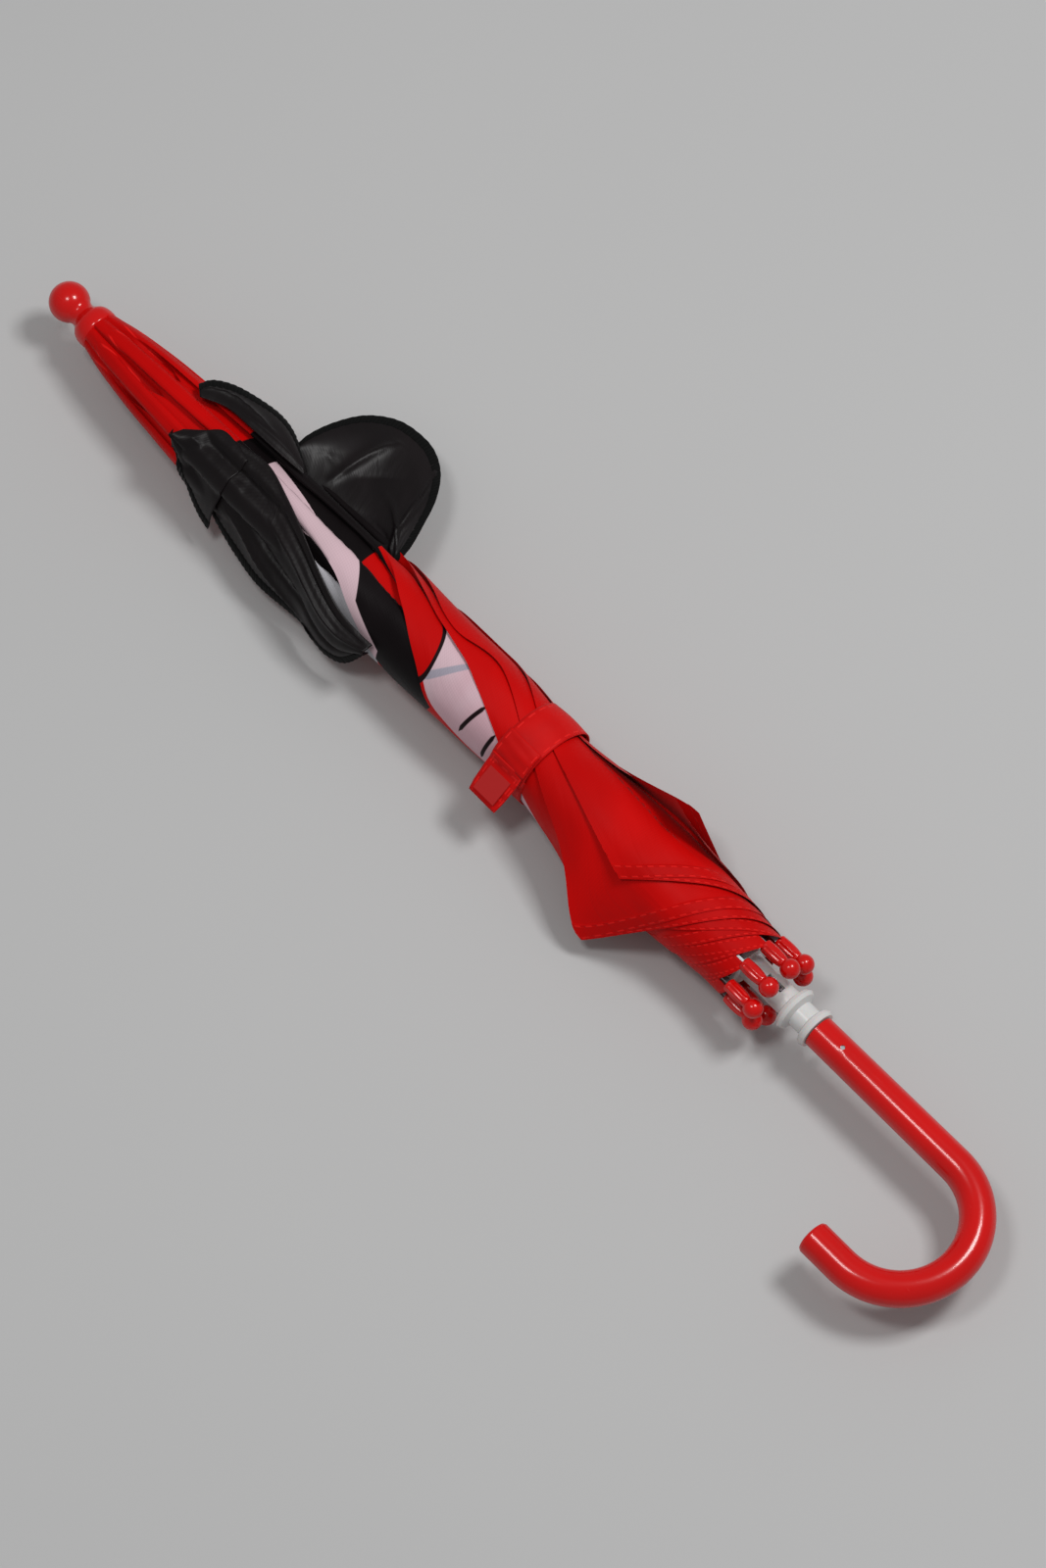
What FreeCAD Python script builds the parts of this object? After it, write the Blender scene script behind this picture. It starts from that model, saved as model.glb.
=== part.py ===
import FreeCAD, Part
import math
import os
import Sketcher
from FreeCAD import Placement, Rotation, Vector

# A child's stick umbrella, furled and lying on its side.  Millimetres.
# The shaft runs along +X from the finial to the crook, the crook bends towards -Y and +Z is up.
# Every size below is a cell of the spreadsheet, in three columns: name, value, what it is.
DIMENSIONS = [
    ("lay_height", 24.0, "shaft axis above the floor"),
    ("shaft_diameter", 8.0, "steel tube"),
    ("shaft_wall", 0.7, "tube wall"),
    ("sliding_gap", 0.15, "radial gap of the runner on the tube"),
    ("seat_gap", 0.05, "radial gap of parts fitted on the tube"),
    ("finial_diameter", 18.4, "ball at the tip"),
    ("finial_neck_wall", 2.6, "neck behind the ball, around the tube"),
    ("finial_length", 21.0, "front of the ball to the cap"),
    ("finial_bore_depth", 8.0, "how far the tube reaches into the neck"),
    ("cap_flare", 3.2, "rim of the crown cap beyond the neck"),
    ("cap_length", 9.0, "crown cap along the shaft"),
    ("cap_rim_width", 2.0, "straight band at the rim"),
    ("patch_thickness", 0.5, "cloth washer under the cap"),
    ("patch_setback", 0.8, "cloth washer inside the cap's rim"),
    ("notch_rim", 2.2, "slotted crown beyond the rib pivots"),
    ("notch_length", 7.4, "slotted crown along the shaft"),
    ("notch_pivot_height", 2.2, "rib pivots above the tube"),
    ("wire_diameter", 0.9, "wires that hold the ribs and stretchers"),
    ("wire_gap", 0.1, "radial gap of an eye on its wire"),
    ("slot_gap", 0.2, "side gap of an arm in its slot"),
    ("rib_length", 422.0, "rib pivot to the centre of its end ball"),
    ("rib_width", 2.0, "rib channel across"),
    ("rib_height", 2.4, "rib channel, radially"),
    ("rib_web", 0.5, "sheet that the channels are rolled from"),
    ("rib_eye_diameter", 3.2, "flattened eye at the pivot"),
    ("tongue_width", 1.5, "flattened end of a rib"),
    ("tongue_length", 6.5, "flattened end of a rib"),
    ("tip_clearance", 1.15, "furled end balls to the runner's first flange"),
    ("tip_ball_diameter", 8.7, "ball on a rib's end"),
    ("tip_neck_wall", 1.55, "widest part of the neck, around its socket"),
    ("tip_neck_end_wall", 0.8, "both ends of the neck, around its socket"),
    ("tip_neck_length", 10.0, "neck in front of the ball"),
    ("tip_bore_gap", 0.14, "socket to the corners of the rib"),
    ("tip_bore_depth", 9.0, "socket for the rib"),
    ("open_angle", 75.0, "degrees between a rib and the shaft when open"),
    ("joint_setback", 1.0, "stretcher joint, short of half the way to the runner's crown"),
    ("stretcher_width", 1.6, "stretcher channel across"),
    ("stretcher_height", 1.8, "stretcher channel, radially"),
    ("stretcher_eye_diameter", 3.0, "eyes at both ends"),
    ("arm_gap", 0.3, "between a rib and the stretcher beside it"),
    ("rivet_diameter", 1.2, "rivet at the rib end of a stretcher"),
    ("rivet_head_diameter", 2.6, "rivet head"),
    ("rivet_head_height", 0.5, "rivet head"),
    ("crown_setback", 20.0, "runner's crown in front of the end balls when furled"),
    ("crown_pivot_height", 4.0, "stretcher pivots above the tube"),
    ("crown_rim", 2.2, "slotted crown beyond the stretcher pivots"),
    ("crown_front", 2.5, "crown in front of its pivots"),
    ("crown_back", 3.5, "crown behind its pivots"),
    ("barrel_wall", 2.15, "runner's barrel and waist"),
    ("barrel_length", 25.0, "runner's crown to its first flange"),
    ("flange_step", 4.0, "first flange above the barrel"),
    ("rear_flange_step", 3.2, "second flange above the barrel"),
    ("flange_width", 3.2, "both flanges"),
    ("waist_length", 8.6, "between the flanges"),
    ("handle_gap", 0.5, "runner to handle when furled"),
    ("handle_diameter", 14.7, "grip where it starts"),
    ("hook_tube_diameter", 15.4, "grip around the hook"),
    ("grip_length", 80.3, "straight grip"),
    ("hook_radius", 32.3, "centre line of the crook"),
    ("hook_tail_length", 14.5, "straight tail after the crook"),
    ("shaft_insertion", 35.0, "tube inside the grip"),
    ("pin_diameter", 2.0, "cross pin through grip and tube"),
    ("pin_from_start", 14.0, "cross pin from the start of the grip"),
    ("end_cap_length", 3.0, "plug that closes the tail"),
    ("end_cap_stem_diameter", 8.0, "stem of that plug"),
    ("end_cap_stem_length", 6.0, "stem of that plug"),
    ("spring_width", 1.6, "catch springs"),
    ("spring_thickness", 0.8, "catch springs"),
    ("spring_arm", 17.0, "catch spring in front of its nose"),
    ("nose_length", 4.5, "sloping nose"),
    ("nose_setback", 0.1, "top of the nose below the barrel's surface"),
    ("spring_axis_radius", 0.8, "spring's centre line from the shaft axis"),
    ("nose_gap", 0.3, "nose to what it holds"),
    ("window_length", 9.0, "runner's window for the lower catch"),
    ("window_width", 3.0, "runner's window for the lower catch"),
    ("window_back", 6.0, "window's end to the first flange"),
    ("canopy_thickness", 0.9, "furled layers taken as one shell"),
    ("canopy_start_gap", 0.8, "furled cloth behind the cap"),
    ("canopy_over_cap", 0.9, "furled cloth at the cap, outside its rim"),
    ("shoulder_distance", 30.0, "first swelling, from the rib pivots"),
    ("shoulder_radius", 15.2, "first swelling"),
    ("body_distance", 96.0, "full bundle, from the rib pivots"),
    ("body_radius", 20.5, "full bundle"),
    ("strap_radius", 19.4, "bundle under the strap"),
    ("strap_from_tips", 147.0, "middle of the strap, in front of the end balls"),
    ("flare_from_tips", 118.0, "start of the loose skirt"),
    ("flare_radius", 21.5, "start of the loose skirt"),
    ("skirt_from_tips", 76.0, "widest part of the skirt"),
    ("skirt_end_from_tips", 62.0, "end of the skirt"),
    ("skirt_end_radius", 23.4, "end of the skirt"),
    ("hem_from_tips", 14.5, "last of the cloth"),
    ("hem_cover", 3.8, "last of the cloth, outside the centres of the end balls"),
    ("skirt_radius_top", 30.0, "skirt above the shaft"),
    ("skirt_radius_hook_side", 37.0, "skirt on the side of the crook"),
    ("skirt_radius_far_side", 31.0, "skirt on the other side"),
    ("skirt_radius_low", 25.6, "skirt beside the floor"),
    ("gore_angle", 43.4, "degrees that one furled panel covers"),
    ("strap_width", 19.0, "closing strap"),
    ("strap_thickness", 1.2, "closing strap"),
    ("strap_gap", 0.4, "closing strap to the bundle"),
    ("tab_length", 15.0, "free end of the strap"),
    ("tab_azimuth", 146.0, "degrees round the shaft where the free end leaves"),
    ("tab_droop", 33.0, "degrees that the free end points below level"),
    ("pad_size", 12.0, "fastening pad under the free end"),
    ("pad_thickness", 0.8, "fastening pad under the free end"),
    ("ear_distance", 132.0, "centre of the round flap from the rib pivots"),
    ("ear_diameter", 74.0, "round flap"),
    ("ear_thickness", 7.0, "soft flap taken as a solid"),
    ("ear_reach", 62.0, "outer edge of the round flap from the shaft axis"),
    ("ear_tilt", 24.0, "degrees that the round flap slopes down"),
    ("fold_distance", 58.0, "start of the folded flap from the rib pivots"),
    ("fold_length", 128.0, "folded flap along the shaft"),
    ("fold_width", 34.0, "folded flap, up its slope"),
    ("fold_tilt", 66.0, "degrees that the folded flap slopes down"),
    ("fold_reach", 31.0, "foot of the folded flap from the shaft axis"),
    ("flap_clearance", 0.6, "flaps to the bundle"),
]
# Sizes that follow from the ones above, because the pieces fit on or around each other.
DERIVED = {
    "finial_neck_diameter": "<shaft_diameter> + 2 * <finial_neck_wall>",
    "cap_diameter": "<finial_neck_diameter> + 2 * <cap_flare>",
    "patch_diameter": "<cap_diameter> - 2 * <patch_setback>",
    "notch_pivot_radius": "<shaft_diameter> / 2 + <notch_pivot_height>",
    "notch_diameter": "2 * (<notch_pivot_radius> + <notch_rim>)",
    "crown_pivot_radius": "<shaft_diameter> / 2 + <crown_pivot_height>",
    "crown_diameter": "2 * (<crown_pivot_radius> + <crown_rim>)",
    "barrel_diameter": "<shaft_diameter> + 2 * (<sliding_gap> + <barrel_wall>)",
    "flange_diameter": "<barrel_diameter> + 2 * <flange_step>",
    "rear_flange_diameter": "<barrel_diameter> + 2 * <rear_flange_step>",
    "nose_height": "<barrel_diameter> / 2 - <spring_axis_radius> - <nose_setback>",
    "tip_ring_radius": "(<flange_diameter> + <tip_ball_diameter>) / 2 + <tip_clearance>",
    "tip_bore_diameter": "sqrt(<rib_width> ^ 2 + <rib_height> ^ 2) + 2 * <tip_bore_gap>",
    "tip_neck_diameter": "<tip_bore_diameter> + 2 * <tip_neck_wall>",
    "tip_neck_end_diameter": "<tip_bore_diameter> + 2 * <tip_neck_end_wall>",
    "canopy_neck_radius": "<cap_diameter> / 2 + <canopy_over_cap>",
    "hem_radius": "<tip_ring_radius> + <hem_cover>",
}
RIB_COUNT = 8
FIRST_RIB = 22.5
RIB_STEP = 360.0 / RIB_COUNT
SPRING_AZIMUTH = 90.0
BOOLEAN_MARGIN = 1.0
OPEN_SIDE = 0.01

doc = FreeCAD.newDocument("stick_umbrella")
sheet = doc.addObject("Spreadsheet::Sheet", "Size")
for row, (alias, value, note) in enumerate(DIMENSIONS, start=1):
    sheet.set(f"A{row}", alias)
    sheet.set(f"B{row}", str(value))
    sheet.set(f"C{row}", note)
    sheet.setAlias(f"B{row}", alias)
doc.recompute()

sub_parts = []


def sizes(text):
    """Turns the <names> in a formula into references to the spreadsheet's cells."""
    while any(f"<{name}>" in text for name in DERIVED):
        for name, formula in DERIVED.items():
            text = text.replace(f"<{name}>", f"({formula})")
    for alias, _, _ in DIMENSIONS:
        text = text.replace(f"<{alias}>", f"Size.{alias}")
    return text


def value_of(formula):
    """The number that a formula of the spreadsheet's cells gives."""
    value = sheet.evalExpression(sizes(formula).replace("Size.", ""))
    return float(getattr(value, "Value", value))


def size(name):
    return value_of(f"<{name}>")


# Places along the shaft, from the front of the finial ball.
CAP_START = size("finial_length")
PATCH_START = CAP_START + size("cap_length")
NOTCH_START = PATCH_START + size("patch_thickness")
NOTCH_PIVOT = NOTCH_START + size("notch_length") / 2
RIB_TILT = math.asin((size("tip_ring_radius") - size("notch_pivot_radius")) / size("rib_length"))
TIPS = NOTCH_PIVOT + size("rib_length") * math.cos(RIB_TILT)
CROWN = TIPS - size("crown_setback")
FLANGE_START = CROWN + size("crown_back") + size("barrel_length")
RUNNER_END = FLANGE_START + 2 * size("flange_width") + size("waist_length")
HANDLE_START = RUNNER_END + size("handle_gap")
HOOK_CENTRE = HANDLE_START + size("grip_length")
TOTAL_LENGTH = HOOK_CENTRE + size("hook_radius") + size("hook_tube_diameter") / 2
HOOK_OUTER = 2 * size("hook_radius") + size("hook_tube_diameter") / 2
SHAFT_Y = (HOOK_OUTER - size("ear_reach")) / 2

# The ribs and stretchers: the joint between them sits near half the way to the runner's crown,
# and the runner slides until the ribs stand at the open angle.
JOINT_DISTANCE = (CROWN - NOTCH_PIVOT) / 2 - size("joint_setback")
OPEN_ANGLE = math.radians(size("open_angle"))


def joint_at(angle):
    """Where a rib at this angle to the shaft holds its stretcher: along the shaft and radially."""
    return (NOTCH_PIVOT + JOINT_DISTANCE * math.cos(angle),
            size("notch_pivot_radius") + JOINT_DISTANCE * math.sin(angle))


JOINT_X, JOINT_R = joint_at(RIB_TILT)
OPEN_JOINT_X, OPEN_JOINT_R = joint_at(OPEN_ANGLE)
STRETCHER_LENGTH = math.hypot(CROWN - JOINT_X, JOINT_R - size("crown_pivot_radius"))
STRETCHER_TILT = math.asin((JOINT_R - size("crown_pivot_radius")) / STRETCHER_LENGTH)
OPEN_STRETCHER_TILT = math.asin((OPEN_JOINT_R - size("crown_pivot_radius")) / STRETCHER_LENGTH)
RUNNER_TRAVEL = CROWN - OPEN_JOINT_X - STRETCHER_LENGTH * math.cos(OPEN_STRETCHER_TILT)
STRETCHER_OFFSET = size("rib_width") / 2 + size("arm_gap") + size("stretcher_width") / 2

# The row's origin is under the middle of the umbrella, on the floor.
LYING = Placement(Vector(-TOTAL_LENGTH / 2, SHAFT_Y, size("lay_height")), Rotation())
X_AXIS, Y_AXIS, Z_AXIS = Vector(1, 0, 0), Vector(0, 1, 0), Vector(0, 0, 1)
ALONG_SHAFT = Rotation(Y_AXIS, 90)
ACROSS_SHAFT = Rotation(X_AXIS, -90)


def on_shaft(along=0.0, side=0.0, up=0.0, turn=Rotation()):
    """A placement given from the front of the finial, sideways and upwards from the shaft axis."""
    return LYING * Placement(Vector(along, side, up), turn)


def in_arm_plane(azimuth, along, radius, offset=0.0, tilt=0.0):
    """A placement in the plane of one rib: along the shaft, away from it, and beside the plane."""
    plane = Placement(Vector(), Rotation(X_AXIS, azimuth))
    arm = Placement(Vector(along, radius, offset), Rotation(Z_AXIS, tilt))
    return LYING * plane * arm


def primitive(kind, name, placement=Placement(), **formulas):
    piece = doc.addObject(f"Part::{kind}", name)
    for prop, formula in formulas.items():
        piece.setExpression(prop, sizes(formula))
    piece.Placement = placement
    return piece


def block(name, length, width, height, placement=Placement()):
    return primitive("Box", name, placement, Length=length, Width=width, Height=height)


def rod(name, radius, height, placement=Placement()):
    return primitive("Cylinder", name, placement, Radius=radius, Height=height)


def cone(name, radius_1, radius_2, height, placement=Placement()):
    return primitive("Cone", name, placement, Radius1=radius_1, Radius2=radius_2, Height=height)


def fuse(name, pieces):
    joined = doc.addObject("Part::MultiFuse", name)
    joined.Shapes = pieces
    return joined


def cut(name, base, tools):
    result = doc.addObject("Part::Cut", name)
    result.Base = base
    result.Tool = tools[0] if len(tools) == 1 else fuse(f"{name}_tools", tools)
    return result


def sub_part(piece, node, placement=None):
    piece.Label = node
    if placement is not None:
        piece.Placement = placement
    sub_parts.append(piece)
    return piece


def outlined_body(name, corners):
    """A body with one closed sketch; each corner is a pair of formulas, along X and along Y."""
    body = doc.addObject("PartDesign::Body", name)
    plane = next(f for f in body.Origin.OriginFeatures if f.Role == "XY_Plane")
    sketch = body.newObject("Sketcher::SketchObject", f"{name}_outline")
    sketch.AttachmentSupport = [(plane, "")]
    sketch.MapMode = "FlatFace"
    count = len(corners)
    points = [Vector(value_of(along), value_of(radial), 0) for along, radial in corners]
    for index, point in enumerate(points):
        sketch.addGeometry(Part.LineSegment(point, points[(index + 1) % count]), False)
    for index in range(count):
        sketch.addConstraint(Sketcher.Constraint("Coincident", index, 2, (index + 1) % count, 1))
    for index, (along, radial) in enumerate(corners):
        for direction, formula, start in (("DistanceX", along, points[index].x),
                                          ("DistanceY", radial, points[index].y)):
            label = f"{direction}_{index}"
            sketch.addConstraint(Sketcher.Constraint(direction, -1, 1, index, 1, start))
            sketch.renameConstraint(sketch.ConstraintCount - 1, label)
            sketch.setExpression(f"Constraints.{label}", sizes(formula))
    return body, sketch


def revolved(name, corners, angle=360.0, angle_formula=None):
    body, sketch = outlined_body(name, corners)
    turned = body.newObject("PartDesign::Revolution", f"{name}_turned")
    turned.Profile = sketch
    turned.ReferenceAxis = (sketch, ["H_Axis"])
    turned.Angle = angle
    turned.Midplane = angle_formula is not None
    if angle_formula:
        turned.setExpression("Angle", sizes(angle_formula))
    sketch.Visibility = False
    return body


def padded(name, corners, width):
    body, sketch = outlined_body(name, corners)
    pad = body.newObject("PartDesign::Pad", f"{name}_pad")
    pad.Profile = sketch
    pad.Midplane = True
    pad.setExpression("Length", sizes(width))
    return body


# ---- shaft, finial, cap and notch ----

def spring_slot(name, end, direction):
    """Slot in the tube for a catch's nose, whose steep face is at end and faces direction."""
    margin = 1.0
    length = size("nose_length") + 2 * margin
    start = end + margin - length if direction > 0 else end - margin
    slot = block(name, "<nose_length> + 2", "<shaft_diameter>", "<spring_width> + 0.6")
    radial = Placement(Vector(), Rotation(X_AXIS, SPRING_AZIMUTH))
    low = Placement(Vector(start, 0, -(size("spring_width") + 0.6) / 2), Rotation())
    slot.Placement = LYING * radial * low
    return slot


LOWER_NOSE_END = FLANGE_START - size("window_back") - size("nose_gap")
UPPER_NOSE_END = RUNNER_END - RUNNER_TRAVEL + size("nose_gap")
TUBE_START = CAP_START - size("finial_bore_depth")


def make_shaft():
    length = HANDLE_START + size("shaft_insertion") - TUBE_START
    outside = rod("tube_outside", "<shaft_diameter> / 2", str(length))
    inside = rod("tube_inside", "<shaft_diameter> / 2 - <shaft_wall>", str(length + 2 * BOOLEAN_MARGIN))
    outside.Placement = on_shaft(TUBE_START, turn=ALONG_SHAFT)
    inside.Placement = on_shaft(TUBE_START - BOOLEAN_MARGIN, turn=ALONG_SHAFT)
    slots = [spring_slot("lower_slot", LOWER_NOSE_END, 1), spring_slot("upper_slot", UPPER_NOSE_END, -1)]
    pin_hole = rod("tube_pin_hole", "<pin_diameter> / 2 + <seat_gap>", "<handle_diameter> * 2")
    pin_hole.Placement = on_shaft(HANDLE_START + size("pin_from_start"), 0, -size("handle_diameter"))
    sub_part(cut("shaft_cut", outside, [inside, pin_hole] + slots), "shaft_tube")


def make_finial():
    ball = primitive("Sphere", "ball", Placement(Vector(size("finial_diameter") / 2, 0, 0), Rotation()),
                     Radius="<finial_diameter> / 2")
    neck = rod("neck", "<finial_neck_diameter> / 2", "<finial_length> - <finial_diameter> / 2",
               Placement(Vector(size("finial_diameter") / 2, 0, 0), ALONG_SHAFT))
    bore = rod("finial_bore", "<shaft_diameter> / 2 + <seat_gap>", "<finial_bore_depth> + 1",
               Placement(Vector(TUBE_START, 0, 0), ALONG_SHAFT))
    sub_part(cut("finial_cut", fuse("finial_solid", [ball, neck]), [bore]), "finial_ball", LYING)

    bore_radius = "<shaft_diameter> / 2 + <seat_gap>"
    cap = revolved("cap", [
        ("0", bore_radius), ("0", "<finial_neck_diameter> / 2 - 0.6"),
        ("<cap_length> * 0.3", "<finial_neck_diameter> / 2"),
        ("<cap_length> - <cap_rim_width> - 1", "<cap_diameter> / 2 - 0.5"),
        ("<cap_length> - <cap_rim_width>", "<cap_diameter> / 2"), ("<cap_length>", "<cap_diameter> / 2"),
        ("<cap_length>", bore_radius)])
    sub_part(cap, "crown_cap", on_shaft(CAP_START))
    patch = revolved("patch", [
        ("0", bore_radius), ("0", "<patch_diameter> / 2"), ("<patch_thickness>", "<patch_diameter> / 2"),
        ("<patch_thickness>", bore_radius)])
    sub_part(patch, "crown_patch", on_shaft(PATCH_START))


def make_notch():
    bore_radius = "<shaft_diameter> / 2 + <seat_gap>"
    blank = revolved("notch_blank", [
        ("-<notch_length> / 2", bore_radius), ("-<notch_length> / 2", "<notch_diameter> / 2"),
        ("<notch_length> / 2", "<notch_diameter> / 2"), ("<notch_length> / 2", bore_radius)])
    slots = []
    floor = size("notch_pivot_radius") - size("rib_eye_diameter") / 2 - size("slot_gap")
    front = -size("rib_eye_diameter") / 2 - size("slot_gap")
    half = size("tongue_width") / 2 + size("slot_gap")
    for index in range(RIB_COUNT):
        turn = Placement(Vector(), Rotation(X_AXIS, FIRST_RIB + RIB_STEP * index))
        slots.append(block(f"notch_slot_{index + 1}", "<notch_length>", "<notch_diameter> / 2",
                           "<tongue_width> + 2 * <slot_gap>",
                           turn * Placement(Vector(front, floor, -half), Rotation())))
    groove_width = "<wire_diameter> + 2 * <wire_gap>"
    groove_start = Placement(Vector(-size("wire_diameter") / 2 - size("wire_gap"), 0, 0), ALONG_SHAFT)
    groove = cut("notch_groove", rod("notch_groove_outside", "<notch_diameter>", groove_width, groove_start),
                 [rod("notch_groove_inside", "<notch_pivot_radius> - <wire_diameter> / 2 - <wire_gap>",
                      groove_width, groove_start)])
    sub_part(cut("notch_cut", blank, slots + [groove]), "top_notch", on_shaft(NOTCH_PIVOT))
    wire = primitive("Torus", "notch_ring", on_shaft(NOTCH_PIVOT, turn=ALONG_SHAFT),
                     Radius1="<notch_pivot_radius>", Radius2="<wire_diameter> / 2")
    sub_part(wire, "notch_wire")


# ---- ribs, end balls and stretchers ----

def make_rib(number, azimuth):
    start = Placement(Vector(0, 0, -size("tongue_width") / 2), Rotation())
    eye = rod(f"rib_eye_{number}", "<rib_eye_diameter> / 2", "<tongue_width>", start)
    tongue = block(f"rib_tongue_{number}", "<tongue_length> + 2", "<rib_height>", "<tongue_width>",
                   Placement(Vector(0, -size("rib_height") / 2, -size("tongue_width") / 2), Rotation()))
    inside_tip = size("tip_ball_diameter") / 2 + size("tip_neck_length") - size("tip_bore_depth")
    end_formula = f"<rib_length> - {inside_tip} - <tongue_length>"
    channel = block(f"rib_channel_{number}", end_formula, "<rib_height>", "<rib_width>",
                    Placement(Vector(size("tongue_length"), -size("rib_height") / 2, -size("rib_width") / 2),
                              Rotation()))
    flute_corner = Vector(size("tongue_length") + 4, -size("rib_height") / 2 - OPEN_SIDE,
                          -size("rib_width") / 2 + size("rib_web"))
    flute = block(f"rib_flute_{number}", "<rib_length>", "<rib_height> - <rib_web>",
                  "<rib_width> - 2 * <rib_web>", Placement(flute_corner, Rotation()))
    hole = rod(f"rib_hole_{number}", "<wire_diameter> / 2 + <wire_gap>", "<tongue_width> * 2",
               Placement(Vector(0, 0, -size("tongue_width")), Rotation()))
    rib = cut(f"rib_cut_{number}", fuse(f"rib_solid_{number}", [eye, tongue, channel]), [flute, hole])
    placement = in_arm_plane(azimuth, NOTCH_PIVOT, size("notch_pivot_radius"), 0, math.degrees(RIB_TILT))
    sub_part(rib, f"rib_{number}", placement)

    neck_start = size("rib_length") - size("tip_ball_diameter") / 2 - size("tip_neck_length")
    narrow, wide = "<tip_neck_end_diameter> / 2", "<tip_neck_diameter> / 2"
    half_neck = "<tip_neck_length> / 2"
    front = cone(f"tip_front_{number}", narrow, wide, half_neck,
                 Placement(Vector(neck_start, 0, 0), ALONG_SHAFT))
    back = cone(f"tip_back_{number}", wide, narrow, half_neck + " + 1",
                Placement(Vector(neck_start + size("tip_neck_length") / 2, 0, 0), ALONG_SHAFT))
    ball = primitive("Sphere", f"tip_ball_{number}", Placement(Vector(size("rib_length"), 0, 0), Rotation()),
                     Radius="<tip_ball_diameter> / 2")
    socket = rod(f"tip_socket_{number}", "<tip_bore_diameter> / 2", "<tip_bore_depth> + 1",
                 Placement(Vector(neck_start - 1, 0, 0), ALONG_SHAFT))
    tip = cut(f"tip_cut_{number}", fuse(f"tip_solid_{number}", [front, back, ball]), [socket])
    sub_part(tip, f"rib_tip_{number}", placement)


def make_stretcher(number, azimuth):
    half_width, half_height = size("stretcher_width") / 2, size("stretcher_height") / 2
    eye_radius = "<stretcher_eye_diameter> / 2"
    hub = rod(f"hub_eye_{number}", eye_radius, "<stretcher_width>",
              Placement(Vector(0, 0, -half_width), Rotation()))
    far = rod(f"far_eye_{number}", eye_radius, "<stretcher_width>",
              Placement(Vector(STRETCHER_LENGTH, 0, -half_width), Rotation()))
    bar = block(f"stretcher_bar_{number}", str(STRETCHER_LENGTH), "<stretcher_height>", "<stretcher_width>",
                Placement(Vector(0, -half_height, -half_width), Rotation()))
    flute_start = size("stretcher_eye_diameter") + size("crown_front")
    flute_corner = Vector(flute_start, -half_height - OPEN_SIDE, -half_width + size("rib_web"))
    flute = block(f"stretcher_flute_{number}", str(STRETCHER_LENGTH - 2 * flute_start),
                  "<stretcher_height> - <rib_web>", "<stretcher_width> - 2 * <rib_web>",
                  Placement(flute_corner, Rotation()))
    hub_hole = rod(f"hub_hole_{number}", "<wire_diameter> / 2 + <wire_gap>", "<stretcher_width> * 2",
                   Placement(Vector(0, 0, -2 * half_width), Rotation()))
    far_hole = rod(f"far_hole_{number}", "<rivet_diameter> / 2 + <seat_gap>", "<stretcher_width> * 2",
                   Placement(Vector(STRETCHER_LENGTH, 0, -2 * half_width), Rotation()))
    stretcher = cut(f"stretcher_cut_{number}", fuse(f"stretcher_solid_{number}", [hub, far, bar]),
                    [flute, hub_hole, far_hole])
    placement = in_arm_plane(azimuth, CROWN, size("crown_pivot_radius"), STRETCHER_OFFSET,
                             180 - math.degrees(STRETCHER_TILT))
    sub_part(stretcher, f"stretcher_{number}", placement)

    shank = rod(f"rivet_shank_{number}", "<rivet_diameter> / 2", "<stretcher_width> + <rivet_head_height>",
                Placement(Vector(STRETCHER_LENGTH, 0, -half_width), Rotation()))
    head = rod(f"rivet_head_{number}", "<rivet_head_diameter> / 2", "<rivet_head_height>",
               Placement(Vector(STRETCHER_LENGTH, 0, half_width), Rotation()))
    sub_part(fuse(f"rivet_solid_{number}", [shank, head]), f"stretcher_rivet_{number}", placement)


# ---- runner ----

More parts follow.
